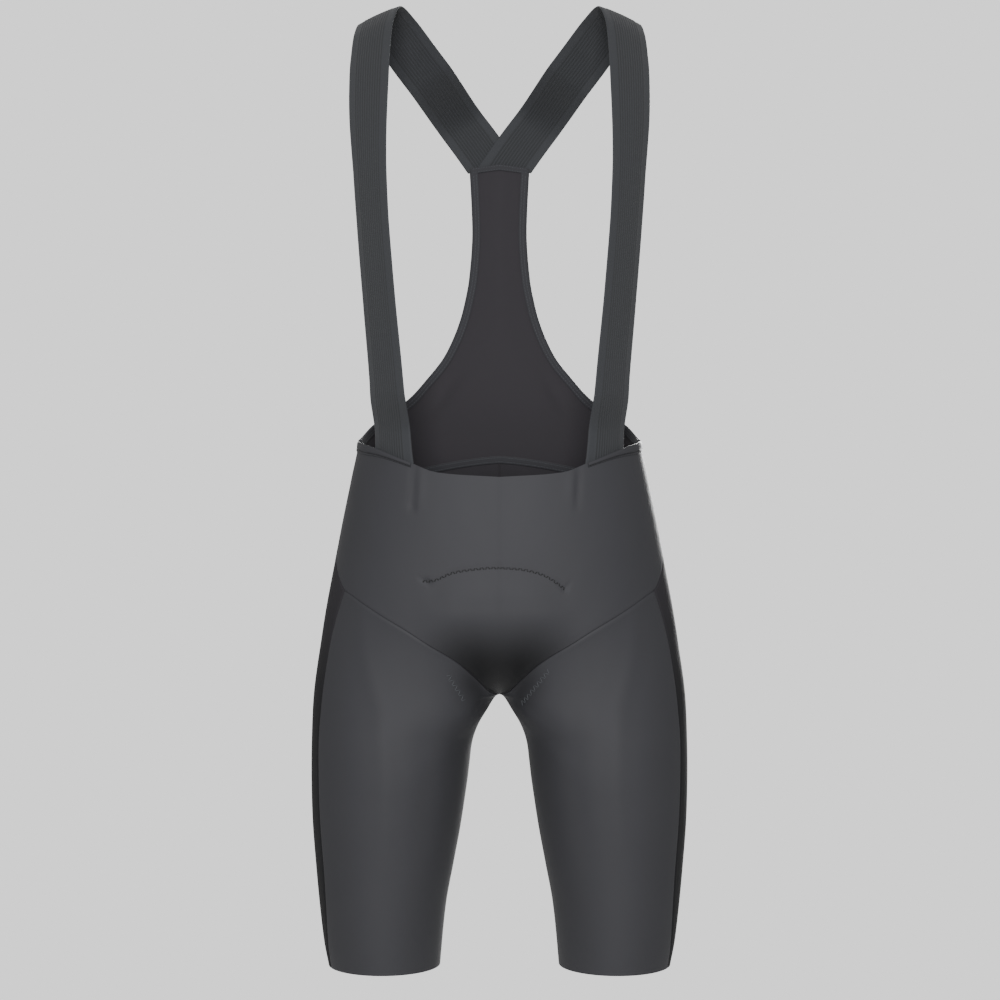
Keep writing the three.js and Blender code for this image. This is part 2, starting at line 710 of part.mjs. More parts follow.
function yokeTapePlaces() {
  const topRow = bibRowPlaces(CELLS.bibEdge).slice(1, -1);
  return [-YOKE_TAPE_HEIGHT, 0].map((rise) => topRow.map((place) => (
    { ...place, height: place.height + rise + YOKE_TAPE_RISE })));
}

function seamTapePlaces() {
  const shares = [];
  for (let step = -CELLS.seat; step <= CELLS.seat; step += 1) {
    shares.push((step / CELLS.seat) * SEAM_TAPE_REACH);
  }
  return [-SEAM_TAPE_HEIGHT / 2, SEAM_TAPE_HEIGHT / 2].map((rise) => shares.map((share) => {
    const place = seatSeamPlace(Math.abs(share));
    return { round: place.round, height: place.height + rise, side: share < 0 ? -1 : 1 };
  }));
}

const yokeTape = cutPanel(yokeTapePlaces(), TAPE_WALL, { lift: -BIB_WALL - SEAM_GAP });
addPiece('yoke_tape', wallGeometry(yokeTape.outer, yokeTape.inner), BINDING_TAPE);
const seamTape = cutPanel(seamTapePlaces(), TAPE_WALL, { lift: -KNIT_WALL - SEAM_TAPE_CLEARANCE });
addPiece('waist_seam_tape', wallGeometry(seamTape.outer, seamTape.inner), BINDING_TAPE);

// The strap's section: flat selvedges, and ribs raised on the outer face over a plain inner face.
function strapSection() {
  const edge = STRAP_WIDTH / 2;
  const face = STRAP_WALL / 2;
  const ribbed = (RIB_COUNT * RIB_PITCH) / 2;
  const section = [[-edge, face], [-ribbed, face]];
  for (let rib = 0; rib < RIB_COUNT; rib += 1) {
    const start = -ribbed + rib * RIB_PITCH;
    section.push([start + RIB_PITCH / 2, face + RIB_RISE], [start + RIB_PITCH, face]);
  }
  section.push([edge, face], [edge, -face]);
  for (const share of [0.5, 0, -0.5]) section.push([edge * share, -face]);
  section.push([-edge, -face]);
  return section.map(([across, off]) => new THREE.Vector2(across, off));
}

const routePoints = STRAP_ROUTE.map(({ x, y, height }) => new THREE.Vector3(x, y, height));
const routeAcross = STRAP_ROUTE.map(({ toX, toY, toZ }) => new THREE.Vector3(toX, toY, toZ));
const routeCurve = new THREE.CatmullRomCurve3(routePoints, false, 'centripetal');

function backFaceY(x, height) {
  const sine = Math.min(Math.abs(x) / bodyHalf(height), 1) ** (1 / SECTION_POWER);
  return bodyBack(height) * Math.sqrt(1 - sine * sine) ** SECTION_POWER;
}

// A point of the left strap: row counts along the route's table, across is towards the neck edge, off is
// out of its outer face, and lift is how far it lies over the other strap at the joint.
function strapPoint(row, across, off, lift) {
  const share = row / (STRAP_ROUTE.length - 1);
  const centre = routeCurve.getPoint(share);
  const along = routeCurve.getTangent(share);
  const before = Math.min(Math.floor(row), STRAP_ROUTE.length - 2);
  const sideways = routeAcross[before].clone().lerp(routeAcross[before + 1], row - before);
  sideways.addScaledVector(along, -sideways.dot(along)).normalize();
  const out = along.clone().cross(sideways);
  const reach = across / (STRAP_WIDTH / 2);
  const point = centre.clone().addScaledVector(sideways, across);
  point.addScaledVector(out, STRAP_CROWN_BOW * (1 - reach * reach));
  const held = 1 - eased(point.z, FOOT_LET_GO.from, FOOT_LET_GO.to);
  if (held > 0 && centre.y < 0) {
    const footSine = Math.min((Math.abs(centre.x) + FOOT_INBOARD) / bodyHalf(point.z), 0.95);
    const footRound = Math.asin(footSine ** (1 / SECTION_POWER)) / Math.PI;
    const step = 0.01;
    const stepLength = bodyPoint(footRound, point.z).distanceTo(bodyPoint(footRound - step, point.z));
    const round = footRound - (across * step) / stepLength;
    const depth = KNIT_WALL + FOOT_CLEARANCE + RIB_RISE + STRAP_WALL / 2;
    const seat = bodyPoint(round, point.z).addScaledVector(bodyNormal(round, point.z), -depth);
    point.lerp(seat, held);
  }
  if (centre.y > 0) {
    const onBack = 1 - eased(centre.z, JOINT_TAKE_UP.to, JOINT_TAKE_UP.from);
    const rest = backFaceY(point.x, point.z) + SEAM_GAP + STRAP_WALL / 2 + lift;
    point.y = mix(point.y, rest, onBack);
  }
  return point.addScaledVector(out, off);
}

// The strap's back end is cut level, so its neck edge runs further along the route.
function strapEndRow(across) {
  let low = STRAP_ROUTE.length - 5;
  let high = STRAP_ROUTE.length - 1;
  while (high - low > 1e-4) {
    const middle = (low + high) / 2;
    if (strapPoint(middle, across, 0, 0).z > STRAP_END_HEIGHT) low = middle;
    else high = middle;
  }
  return low;
}

function strapRows() {
  const rows = [];
  STRAP_ROUTE.forEach(({ cuts }, row) => {
    for (let cut = 0; cut < cuts; cut += 1) rows.push(row + cut / cuts);
  });
  const centreEnd = strapEndRow(0);
  const kept = rows.filter((row) => row < centreEnd - LAST_RING_SPACING);
  return [...kept, centreEnd];
}

function strapGeometry(side, lift) {
  const outline = strapSection();
  const rows = strapRows();
  const centreEnd = rows[rows.length - 1];
  const endRows = outline.map((point) => strapEndRow(point.x));
  const rings = rows.map((row) => {
    const slant = Math.max((row - SLANT_START_ROW) / (centreEnd - SLANT_START_ROW), 0);
    return outline.map((point, i) => {
      const place = row + slant * (endRows[i] - centreEnd);
      const spot = strapPoint(place, point.x, point.y, lift);
      spot.x *= side;
      return spot;
    });
  });
  return sweptGeometry(rings, outline);
}

addPiece('strap_left', strapGeometry(1, 0), STRAP_ELASTIC);
addPiece('strap_right', strapGeometry(-1, UPPER_STRAP_LIFT), STRAP_ELASTIC);

export default garment;
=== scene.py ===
"""Cycling bib shorts as worn by a general figure that isn't there: the cloth, ribs, binding and sewing.

Sizes are in millimetres and heights are measured up from the leg hems, as in the pattern. Meshes are turned
to metres when they are made. Round is the way round the body: 0 at the centre front, 0.5 at the side and 1
at the centre back. Left is the wearer's left, towards +X.
"""

import bpy
import numpy as np
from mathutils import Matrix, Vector


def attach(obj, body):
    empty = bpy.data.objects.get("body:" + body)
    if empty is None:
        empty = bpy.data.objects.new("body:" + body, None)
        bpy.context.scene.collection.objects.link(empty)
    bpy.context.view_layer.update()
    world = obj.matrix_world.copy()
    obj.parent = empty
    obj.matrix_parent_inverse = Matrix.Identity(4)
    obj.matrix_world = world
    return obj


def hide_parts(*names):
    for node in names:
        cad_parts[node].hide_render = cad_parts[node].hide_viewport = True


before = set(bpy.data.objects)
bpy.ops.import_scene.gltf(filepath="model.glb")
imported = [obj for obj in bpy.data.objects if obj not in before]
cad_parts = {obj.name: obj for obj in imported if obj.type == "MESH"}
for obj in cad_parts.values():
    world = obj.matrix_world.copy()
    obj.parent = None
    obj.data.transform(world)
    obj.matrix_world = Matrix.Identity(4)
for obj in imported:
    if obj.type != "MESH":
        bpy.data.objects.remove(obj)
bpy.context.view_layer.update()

MM = 0.001

SHOULDER_HEIGHT = 900
CROTCH_HEIGHT = 256
PARTING_HEIGHT = 340
THIGH_PARTED_HEIGHT = 170
ARCH_REACH = 0.12
EARLY_PARTING_REACH = 0.25
GAP_SOFTENING = 40
INSEAM_REACH = 0.2
SECTION_POWER = 0.92
INSEAM_EASE = 0.04

KNIT_WALL = 1.6
KNIT_SHOWN = 1.2
BIB_WALL = 1.2
TAPE_WALL = 0.9
STRAP_WALL = 1.6
SEAM_GAP = 0.3

STRAP_WIDTH = 47
RIB_COUNT = 11
RIB_PITCH = 2.9
RIB_RISE = 0.5
BINDING_WIDTH = 6.5
SEAM_TAPE_WIDTH = 7.0
JOINT_TAPE_WIDTH = 5.6
TAPE_THICK = 0.7

# Rows of stitches: in from the bound edge, above the seat seam, and below the bib's top edge.
BINDING_STITCH_ROWS = (2.2, 4.9)
SEAM_STITCH_ROWS = (-2.0, 2.0)
JOINT_STITCH_ROWS = (0.6, 3.9)


def table(columns, rows):
    """A table with named columns, as one array for each column."""
    return dict(zip(columns.split(), np.array(rows, float).T))


BODY = table("height half front back", [
    (0, 162.0, 66, 62),
    (22, 166.3, 69, 65),
    (60, 170.8, 74, 70),
    (98, 174.3, 79, 75),
    (136, 177.2, 84, 80),
    (174, 178.3, 88, 85),
    (212, 178.1, 92, 91),
    (256, 176.2, 96, 101),
    (300, 170.4, 101, 116),
    (340, 164.0, 104, 122),
    (380, 156.4, 105, 116),
    (420, 148.8, 103, 103),
    (461, 140.4, 99, 92),
    (497, 133.6, 96, 86),
    (540, 134.0, 96, 84),
    (600, 142.0, 96, 92),
    (660, 152.0, 96, 104),
    (720, 158.0, 96, 112),
    (780, 158.0, 96, 113),
    (860, 150.0, 96, 106),
])
THIGH_GAP = table("height rate", [
    (0, 12.4),
    (60, 12.9),
    (98, 11.8),
    (136, 10.9),
    (174, 11.3),
    (193, 12.6),
    (215, 15.0),
    (231, 13.7),
    (245, 9.4),
    (256, 7.0),
])
POINTED_SEAM = table("height round", [
    (256, 0),
    (260, 0.030),
    (265, 0.046),
    (277, 0.075),
    (292, 0.101),
    (304, 0.126),
    (321, 0.170),
    (337, 0.237),
    (350, 0.307),
    (356, 0.348),
    (366, 0.385),
    (378, 0.432),
    (388, 0.480),
    (394, 0.510),
])
SIDE_PANEL_EDGE = table("height round", [
    (0, 0.445),
    (30, 0.431),
    (65, 0.421),
    (100, 0.419),
    (174, 0.425),
    (212, 0.425),
    (240, 0.420),
    (265, 0.410),
    (300, 0.392),
    (326, 0.374),
    (356, 0.348),
])
FRONT_TOP = table("round height", [
    (0, 461),
    (0.127, 465.5),
    (0.19, 474),
    (0.305, 487),
    (0.42, 493.5),
    (0.51, 496),
])
BIB_EDGE = table("height half bow", [
    (496, 133.6, -16),
    (512, 120.5, 2),
    (537, 88.7, 10),
    (557, 71.0, 10),
    (577, 55.4, 8),
    (597, 44.8, 5),
    (617, 37.5, 3),
    (637, 32.6, 2),
    (658, 28.9, 1),
    (698, 25.8, 0.5),
    (730, 26.4, 1),
    (769, 28.5, 4),
])
STRAP_ROUTE = table("x y height to_x to_y to_z", [
    (98.0, -71.5, 463, -0.8, -0.6, 0),
    (99.8, -71.5, 480, -0.78, -0.62, 0),
    (101.2, -72.5, 500, -0.74, -0.67, 0),
    (104.2, -76.5, 550, -0.68, -0.73, 0),
    (110.7, -80.5, 624, -0.655, -0.755, 0),
    (116.4, -84.5, 697, -0.65, -0.76, 0),
    (119.0, -85.0, 745, -0.675, -0.74, 0),
    (120.5, -78.0, 785, -0.73, -0.68, 0),
    (121.0, -62.0, 822, -0.77, -0.64, 0.02),
    (120.6, -42.0, 856, -0.78, -0.61, 0.08),
    (118.0, -19.0, 887, -0.79, -0.58, 0.18),
    (112.5, 4.0, 900.5, -0.83, -0.46, 0.29),
    (100.0, 25.0, 888.5, -0.89, -0.24, 0.38),
    (82.0, 42.0, 866, -0.87, -0.15, 0.47),
    (62.0, 61.0, 842, -0.84, -0.14, 0.53),
    (43.0, 82.0, 819, -0.8, -0.2, 0.56),
    (25.0, 100.0, 796, -0.8, -0.12, 0.57),
    (12.0, 110.0, 778, -0.8, -0.07, 0.59),
    (1.0, 113.0, 762, -0.8, -0.06, 0.59),
    (-20.0, 114.0, 734, -0.8, -0.06, 0.59),
])
PANELS_MEET_HEIGHT = 356
SIDE_ROUND = 0.51
SIDE_SEAM_FOOT = 394
SIDE_TOP_HEIGHT = 496
SEAT_TOP = 480
SEAT_TOP_SIDE = 435
SEAT_ARCH_POWER = 1.3
SEAT_ARCH_ROWS = 6
BIB_TOP_EDGE = 769
BIB_CORNER_ROWS = 9
STRAP_END_HEIGHT = 765.3
STRAP_CROWN_BOW = 1.2
FOOT_CLEARANCE = 1.4
FOOT_INBOARD = 2.8
FOOT_LET_GO = (500, 540)
JOINT_TAKE_UP = (806, 850)
UPPER_STRAP_LIFT = STRAP_WALL + RIB_RISE + SEAM_GAP
SLANT_START_ROW = 14

# The pattern's steps along each seam. Pieces that share a seam count along it in the same steps.
POINTED_STEPS = 10
HIP_STEPS = 6
SIDE_STEPS = 6
BIB_SIDE_STEPS = 5
LEG_STEPS = 18
SEAT_STEPS = 12
BIB_STEPS = 14


def smooth(source, key, column):
    """One smooth curve through a table's rows."""
    at, value = source[key], source[column]
    before = np.maximum(np.arange(len(at)) - 1, 0)
    after = np.minimum(np.arange(len(at)) + 1, len(at) - 1)
    slope = (value[after] - value[before]) / (at[after] - at[before])

    def curve(place):
        x = np.clip(place, at[0], at[-1])
        i = np.clip(np.searchsorted(at, x, side="left") - 1, 0, len(at) - 2)
        span = at[i + 1] - at[i]
        t = (x - at[i]) / span
        rise = value[i + 1] - value[i]
        start_bend = slope[i] * span - rise
        end_bend = rise - slope[i + 1] * span
        return value[i] + t * rise + t * (1 - t) * ((1 - t) * start_bend + t * end_bend)

    return curve


body_half = smooth(BODY, "height", "half")
body_front = smooth(BODY, "height", "front")
body_back = smooth(BODY, "height", "back")
thigh_rate = smooth(THIGH_GAP, "height", "rate")
pointed_round = smooth(POINTED_SEAM, "height", "round")
side_panel_round = smooth(SIDE_PANEL_EDGE, "height", "round")
front_top = smooth(FRONT_TOP, "round", "height")
bib_half = smooth(BIB_EDGE, "height", "half")
bib_bow = smooth(BIB_EDGE, "height", "bow")


def mix(start, end, share):
    return start + (end - start) * share


def eased(value, start, end):
    t = np.clip((value - start) / (end - start), 0, 1)
    return t * t * (3 - 2 * t)


def power(value, exponent):
    return np.sign(value) * np.abs(value) ** exponent


def unit(vectors):
    return vectors / np.maximum(np.linalg.norm(vectors, axis=-1, keepdims=True), 1e-12)


def leg_share(around):
    """How far round its own leg a line is, from the inseam and back to it."""
    near = np.where(around > 0.5, 1 - around, around)
    size = np.abs(near)
    share = np.sign(near) * size * size / (size + INSEAM_EASE) * (0.5 + INSEAM_EASE) / 0.5
    return np.where(around > 0.5, 1 - share, share)


def body_point(around, height):
    """Points on the garment's outer face, for the wearer's left side."""
    around, height = np.broadcast_arrays(np.asarray(around, float), np.asarray(height, float))
    half, front, back = body_half(height), body_front(height), body_back(height)
    ahead = power(np.cos(np.pi * around), SECTION_POWER)
    trunk_x = half * power(np.sin(np.pi * around), SECTION_POWER)
    trunk_y = -ahead * np.where(ahead > 0, front, back)
    turn = 2 * np.pi * leg_share(around)
    from_centre = np.minimum(np.abs(around), np.abs(1 - around))
    gap = np.sqrt(np.maximum(thigh_rate(height) * (CROTCH_HEIGHT - height), 0))
    soft_gap = gap * eased(CROTCH_HEIGHT - height, 0, GAP_SOFTENING)
    inner = mix(gap, soft_gap, eased(from_centre, 0, INSEAM_REACH))
    leg_ahead = np.sin(turn)
    leg_x = (inner + half) / 2 - (half - inner) / 2 * np.cos(turn)
    leg_y = -leg_ahead * np.where(leg_ahead > 0, front, back)
    end = mix(CROTCH_HEIGHT, THIGH_PARTED_HEIGHT, eased(from_centre, 0, EARLY_PARTING_REACH))
    fall = np.clip((PARTING_HEIGHT - height) / (PARTING_HEIGHT - end), 0, 1)
    arch = 1 - np.sqrt(1 - fall * fall)
    soft = fall * fall * (3 - 2 * fall)
    parted = mix(arch, soft, eased(from_centre, 0, ARCH_REACH))
    x = mix(trunk_x, leg_x, parted)
    y = mix(trunk_y, leg_y, parted)
    return np.stack([x, y, height], axis=-1)


def body_normal(around, height):
    around, height = np.broadcast_arrays(np.asarray(around, float), np.asarray(height, float))
    from_crotch = np.abs(height - CROTCH_HEIGHT)
    from_inseam = np.minimum(np.abs(around), np.abs(1 - around))
    up = np.clip(from_crotch * 0.1, 0.02, 2)
    aside = 0.004
    across = body_point(around + aside, height) - body_point(around - aside, height)
    along = body_point(around, height + up) - body_point(around, height - up)
    normal = unit(np.cross(across, along))
    normal[(from_crotch < 0.3) & (from_inseam < 0.004)] = (0, 0, -1)
    return normal


# The seams, as places (round, height) that every piece sewn there shares.


def pointed_seam(step):
    height = mix(CROTCH_HEIGHT, PANELS_MEET_HEIGHT, (step / POINTED_STEPS) ** 1.4)
    return pointed_round(height), height


def hip_seam(step):
    height = mix(PANELS_MEET_HEIGHT, SIDE_SEAM_FOOT, step / HIP_STEPS)
    return pointed_round(height), height


def front_foot(step):
    """The front panel's lower edge, from the crotch to the side."""
    inner = pointed_seam(np.minimum(step, POINTED_STEPS))
    outer = hip_seam(np.maximum(step - POINTED_STEPS, 0))
    on_hip = step > POINTED_STEPS
    return np.where(on_hip, outer[0], inner[0]), np.where(on_hip, outer[1], inner[1])


def seat_seam(share):
    height = SEAT_TOP - (SEAT_TOP - SEAT_TOP_SIDE) * share ** SEAT_ARCH_POWER
    return 1 - (1 - SIDE_ROUND) * share, height


def leg_row_share(row):
    return 1 - (1 - row / LEG_STEPS) ** 1.5


def side_panel_edge(row):
    height = PANELS_MEET_HEIGHT * leg_row_share(row)
    return side_panel_round(height), height


def bib_foot(step):
    """The bib's lowest row: out along the seat seam and up the side seam."""
    seat = seat_seam(np.minimum(step / SEAT_STEPS, 1))
    climb = np.maximum(step - SEAT_STEPS, 0) / BIB_SIDE_STEPS
    on_side = step > SEAT_STEPS
    side_height = mix(SEAT_TOP_SIDE, SIDE_TOP_HEIGHT, climb)
    return np.where(on_side, SIDE_ROUND, seat[0]), np.where(on_side, side_height, seat[1])


def bib_edge(row):
    height = mix(SIDE_TOP_HEIGHT, BIB_TOP_EDGE, (row / BIB_STEPS) ** 1.5)
    sine = np.minimum(bib_half(height) / body_half(height), 1) ** (1 / SECTION_POWER)
    return np.maximum(1 - np.arcsin(sine) / np.pi, SIDE_ROUND), height


def bib_place(row, share):
    """Places on the bib's left half: row from its seams to its top, share from the centre to the edge."""
    edge_round, edge_height = bib_edge(row)
    centre = edge_height + bib_bow(edge_height)
    foot_round, foot_height = bib_foot(share * (SEAT_STEPS + BIB_SIDE_STEPS))
    corner_round, corner_height = bib_edge(0.0)
    foot_centre = corner_height + bib_bow(corner_height)
    follow = 1 - eased(row, 0, BIB_CORNER_ROWS)
    around = mix(1, edge_round, share) + follow * (foot_round - mix(1, corner_round, share))
    height = mix(centre, edge_height, share)
    return around, height + follow * (foot_height - mix(foot_centre, corner_height, share))


# Creases and soft forms in the cloth.

# Each crease runs on the cloth between two places. Depth is negative for a trough and positive for a ridge.
CREASES = [
    {"side": -1, "start": (0.180, 474), "end": (0.172, 430), "width": 2.8, "depth": -1.5},
    {"side": -1, "start": (0.165, 470), "end": (0.158, 436), "width": 5.0, "depth": 0.8},
    {"side": -1, "start": (0.176, 437), "end": (0.172, 431), "width": 2.6, "depth": -1.5},
    {"side": 1, "start": (0.166, 472), "end": (0.150, 432), "width": 2.8, "depth": -1.3},
    {"side": 1, "start": (0.150, 466), "end": (0.138, 440), "width": 5.5, "depth": 0.7},
    {"side": 1, "start": (0.262, 330), "end": (0.275, 120), "width": 9, "depth": 1.1},
    {"side": 1, "start": (0.190, 300), "end": (0.200, 90), "width": 13, "depth": -0.7},
    {"side": -1, "start": (0.270, 334), "end": (0.262, 100), "width": 9, "depth": 1.1},
    {"side": -1, "start": (0.200, 310), "end": (0.185, 110), "width": 14, "depth": -0.7},
    {"side": -1, "start": (0.142, 369), "end": (0.116, 363), "width": 1.7, "depth": -1.1},
    {"side": -1, "start": (0.128, 371), "end": (0.122, 362), "width": 1.6, "depth": -0.8},
    {"side": 1, "start": (0.098, 366), "end": (0.116, 355), "width": 1.7, "depth": -1.0},
    {"side": 1, "start": (0.122, 365), "end": (0.108, 357), "width": 1.6, "depth": -0.8},
    {"side": 1, "start": (0.070, 300), "end": (0.230, 342), "width": 11, "depth": 0.7},
    {"side": -1, "start": (0.060, 296), "end": (0.210, 334), "width": 13, "depth": 0.6},
    {"side": 1, "start": (0.060, 262), "end": (0.160, 236), "width": 7, "depth": -0.9},
    {"side": -1, "start": (0.055, 260), "end": (0.135, 230), "width": 8, "depth": -0.8},
    {"side": 1, "start": (0.085, 240), "end": (0.190, 205), "width": 9, "depth": -0.6},
    {"side": 1, "start": (0.300, 352), "end": (0.460, 300), "width": 14, "depth": -0.7},
    {"side": -1, "start": (0.330, 346), "end": (0.470, 306), "width": 12, "depth": -0.6},
    {"side": 1, "start": (0.860, 300), "end": (0.960, 276), "width": 8, "depth": -2.0},
    {"side": -1, "start": (0.840, 306), "end": (0.955, 274), "width": 9, "depth": -1.8},
    {"side": 1, "start": (0.800, 262), "end": (0.930, 244), "width": 7, "depth": -1.5},
    {"side": -1, "start": (0.780, 250), "end": (0.900, 238), "width": 6, "depth": -1.3},
    {"side": 1, "start": (0.700, 196), "end": (0.840, 178), "width": 8, "depth": -1.0},
    {"side": -1, "start": (0.720, 186), "end": (0.830, 172), "width": 7, "depth": -0.8},
    {"side": 1, "start": (0.960, 470), "end": (0.930, 420), "width": 7, "depth": -1.1},
    {"side": -1, "start": (0.950, 466), "end": (0.940, 424), "width": 6, "depth": -1.0},
    {"side": 1, "start": (0.560, 470), "end": (0.700, 452), "width": 6, "depth": -1.0},
    {"side": -1, "start": (0.580, 474), "end": (0.690, 450), "width": 7, "depth": -1.0},
    {"side": 1, "start": (0.900, 560), "end": (0.860, 530), "width": 6, "depth": -1.0},
    {"side": -1, "start": (0.920, 566), "end": (0.850, 528), "width": 7, "depth": -1.1},
]


def crease_relief(points, side):
    """How far the creases move the cloth along its normal."""
    relief = np.zeros(points.shape[:-1])
    for crease in CREASES:
        if crease["side"] != side:
            continue
        (start_round, start_height), (end_round, end_height) = crease["start"], crease["end"]
        along = np.linspace(0, 1, 9)
        line = body_point(mix(start_round, end_round, along), mix(start_height, end_height, along))
        low = line.min(0) - 4 * crease["width"]
        high = line.max(0) + 4 * crease["width"]
        near = np.all((points > low) & (points < high), axis=-1)
        if not near.any():
            continue
        chosen = points[near]
        best = np.full(len(chosen), np.inf)
        place = np.zeros(len(chosen))
        for i in range(len(line) - 1):
            run = line[i + 1] - line[i]
            t = np.clip((chosen - line[i]) @ run / (run @ run), 0, 1)
            away = np.linalg.norm(chosen - line[i] - t[:, None] * run, axis=1)
            closer = away < best
            best = np.where(closer, away, best)
            place = np.where(closer, (i + t) / (len(line) - 1), place)
        taper = np.sin(np.pi * np.clip(0.12 + 0.76 * place, 0, 1))
        relief[near] += crease["depth"] * taper * np.exp(-((best / crease["width"]) ** 2))
    return relief


# The pad's upper edge shows through the belly panel, where it is stitched in. It sits a little off centre.
PAD_ARC = {
    1: table("round height", [
        (0, 378.2),
        (0.038, 376.4),
        (0.0745, 371),
        (0.1025, 362),
        (0.112, 358),
    ]),
    -1: table("round height", [
        (0, 378.2),
        (0.0228, 377.8),
        (0.0762, 373.7),
        (0.1118, 366.5),
        (0.136, 366),
    ]),
}
PAD_LINE_DEPTH = 0.7
PAD_LINE_WIDTH = 1.6
PAD_LIFT = 2.6
# The pad's sides are stitched in with short slanting lines on the legs: the side of the body, the front (1) or
# the back (-1), and each end's place in millimetres from the centre line and in height.
PAD_SIDE_LINES = {
    "front_left": (1, 1, (45.3, 283.4), (19.7, 249.5)),
    "front_right": (-1, 1, (47.2, 279.7), (30.7, 251.3)),
    "back_left": (1, -1, (50, 262), (24, 232)),
    "back_right": (-1, -1, (49, 265), (23, 236)),
}
pad_arc_height = {side: smooth(arc, "round", "height") for side, arc in PAD_ARC.items()}
PAD_ARC_END = {1: 0.112, -1: 0.136}


def pad_relief(around, height, side):
    """The stitches pull a shallow line in, and the pad lifts the cloth a little below it."""
    end = PAD_ARC_END[side]
    off_arc = height - pad_arc_height[side](around)
    reach = 1 - eased(around, end - 0.008, end + 0.008)
    line = -PAD_LINE_DEPTH * np.exp(-((off_arc / PAD_LINE_WIDTH) ** 2)) * reach
    below_arc = eased(-off_arc, 0, 28) * (1 - eased(-off_arc, 36, 84))
    within_arc = 1 - eased(around, end - 0.07, end + 0.02)
    return line + PAD_LIFT * below_arc * within_arc


# Meshes.


def graded(steps, finer, start=True, end=True):
    """Places from 0 to steps, finer to a step, crowded at the ends that are seams."""
    even = np.linspace(0, steps, steps * finer + 1)
    crowd = np.array([0.03, 0.07, 0.13]) * (4 / finer)
    extra = []
    if start:
        extra.append(crowd)
    if end:
        extra.append(steps - crowd)
    return np.unique(np.round(np.concatenate([even, *extra]), 6))


def run_length(points, axis):
    """Length along the rows or columns of a grid, from its start."""
    steps = np.linalg.norm(np.diff(points, axis=axis), axis=-1)
    start = np.zeros_like(np.take(steps, [0], axis=axis))
    return np.concatenate([start, np.cumsum(steps, axis=axis)], axis=axis)


# A seam's groove and the fullness beside it, in millimetres.
SEAM_GROOVE_DEPTH = 0.75
SEAM_GROOVE_WIDTH = 0.9
SEAM_FULLNESS = 0.1
SEAM_FULLNESS_AWAY = 3.2
SEAM_FULLNESS_WIDTH = 1.8


def seam_relief(points, seams):
    """A fine groove where cloth is sewn to cloth, and soft fullness beside it."""
    across = run_length(points, 1)
    up = run_length(points, 0)
    distance = {
        "start": across,
        "end": across[:, -1:] - across,
        "foot": up,
        "top": up[-1:, :] - up,
    }
    relief = np.zeros(points.shape[:-1])
    for name in seams:
        away = distance[name]
        relief -= SEAM_GROOVE_DEPTH * np.exp(-((away / SEAM_GROOVE_WIDTH) ** 2))
        relief += SEAM_FULLNESS * np.exp(-(((away - SEAM_FULLNESS_AWAY) / SEAM_FULLNESS_WIDTH) ** 2))
    return relief


def new_object(name, points, faces, uv, material, sharp_angle=0.9):
    mesh = bpy.data.meshes.new(name)
    placed = (np.asarray(points, float) - (0, 0, SHOULDER_HEIGHT)) * MM
    mesh.from_pydata(placed.tolist(), [], faces)
    if uv is not None:
        layer = mesh.uv_layers.new(name="cloth")
        corner = np.zeros(len(mesh.loops), np.int32)
        mesh.loops.foreach_get("vertex_index", corner)
        layer.data.foreach_set("uv", (np.asarray(uv, float)[corner] * MM).ravel())
    mesh.polygons.foreach_set("use_smooth", np.ones(len(mesh.polygons), bool))
    mesh.set_sharp_from_angle(angle=sharp_angle)
    mesh.materials.append(material)
    piece = bpy.data.objects.new(name, mesh)
    bpy.context.scene.collection.objects.link(piece)
    return piece


def outward(points, faces):
    """The faces turned so that the closed mesh faces out."""
    a, b, c = (points[faces[:, i]] for i in range(3))
    volume = np.einsum("ij,ij->i", np.cross(a, b), c).sum()
    if faces.shape[1] == 4:
        d = points[faces[:, 3]]
        volume += np.einsum("ij,ij->i", np.cross(a, c), d).sum()
    return faces[:, ::-1] if volume < 0 else faces


def wall(name, outer, inner, uv, material):
    """A closed wall between two grids of points."""
    rows, columns = outer.shape[:2]
    index = np.arange(rows * columns).reshape(rows, columns)
    back = index + rows * columns

    def quads(a, b, c, d):
        return np.stack([a.ravel(), b.ravel(), c.ravel(), d.ravel()], axis=1)

    faces = np.concatenate([
        quads(index[:-1, :-1], index[:-1, 1:], index[1:, 1:], index[1:, :-1]),
        quads(back[:-1, :-1], back[1:, :-1], back[1:, 1:], back[:-1, 1:]),
        quads(back[0, :-1], back[0, 1:], index[0, 1:], index[0, :-1]),
        quads(index[-1, :-1], index[-1, 1:], back[-1, 1:], back[-1, :-1]),
        quads(index[:-1, 0], index[1:, 0], back[1:, 0], back[:-1, 0]),
        quads(back[:-1, -1], back[1:, -1], index[1:, -1], index[:-1, -1]),
    ])
    points = np.concatenate([outer.reshape(-1, 3), inner.reshape(-1, 3)])
    both_uv = np.concatenate([uv.reshape(-1, 2), uv.reshape(-1, 2)])
    return new_object(name, points, outward(points, faces).tolist(), both_uv, material)


def cloth_uv(points):
    """Lengths on the cloth, across and up, from the grid's middle column and foot."""
    across = run_length(points, 1)
    middle = across.shape[1] // 2
    return np.stack([across - across[:, middle:middle + 1], run_length(points, 0)], axis=-1)


def mirrored(points, side):
    return points * np.array([side, 1, 1])


def declare(piece, nodes):
    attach(piece, "root")
    if nodes:
        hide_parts(*nodes)
    return piece


def half_panel(around, height, side, seams, wall_shown, extra=None):
    """Outer and inner grids and lengths for a panel on one side of the body."""
    points = body_point(around, height)
    normals = body_normal(around, height)
    relief = seam_relief(points, seams) + crease_relief(points, side)
    if extra is not None:
        relief = relief + extra(around, height, side)
    outer = points + normals * relief[..., None]
    inner = outer - normals * wall_shown
    return mirrored(outer, side), mirrored(inner, side)


def both_halves(left, right):
    """One grid across the centre line, from a left half that starts there and a mirrored right half."""
    return np.concatenate([right[:, :0:-1], left], axis=1)


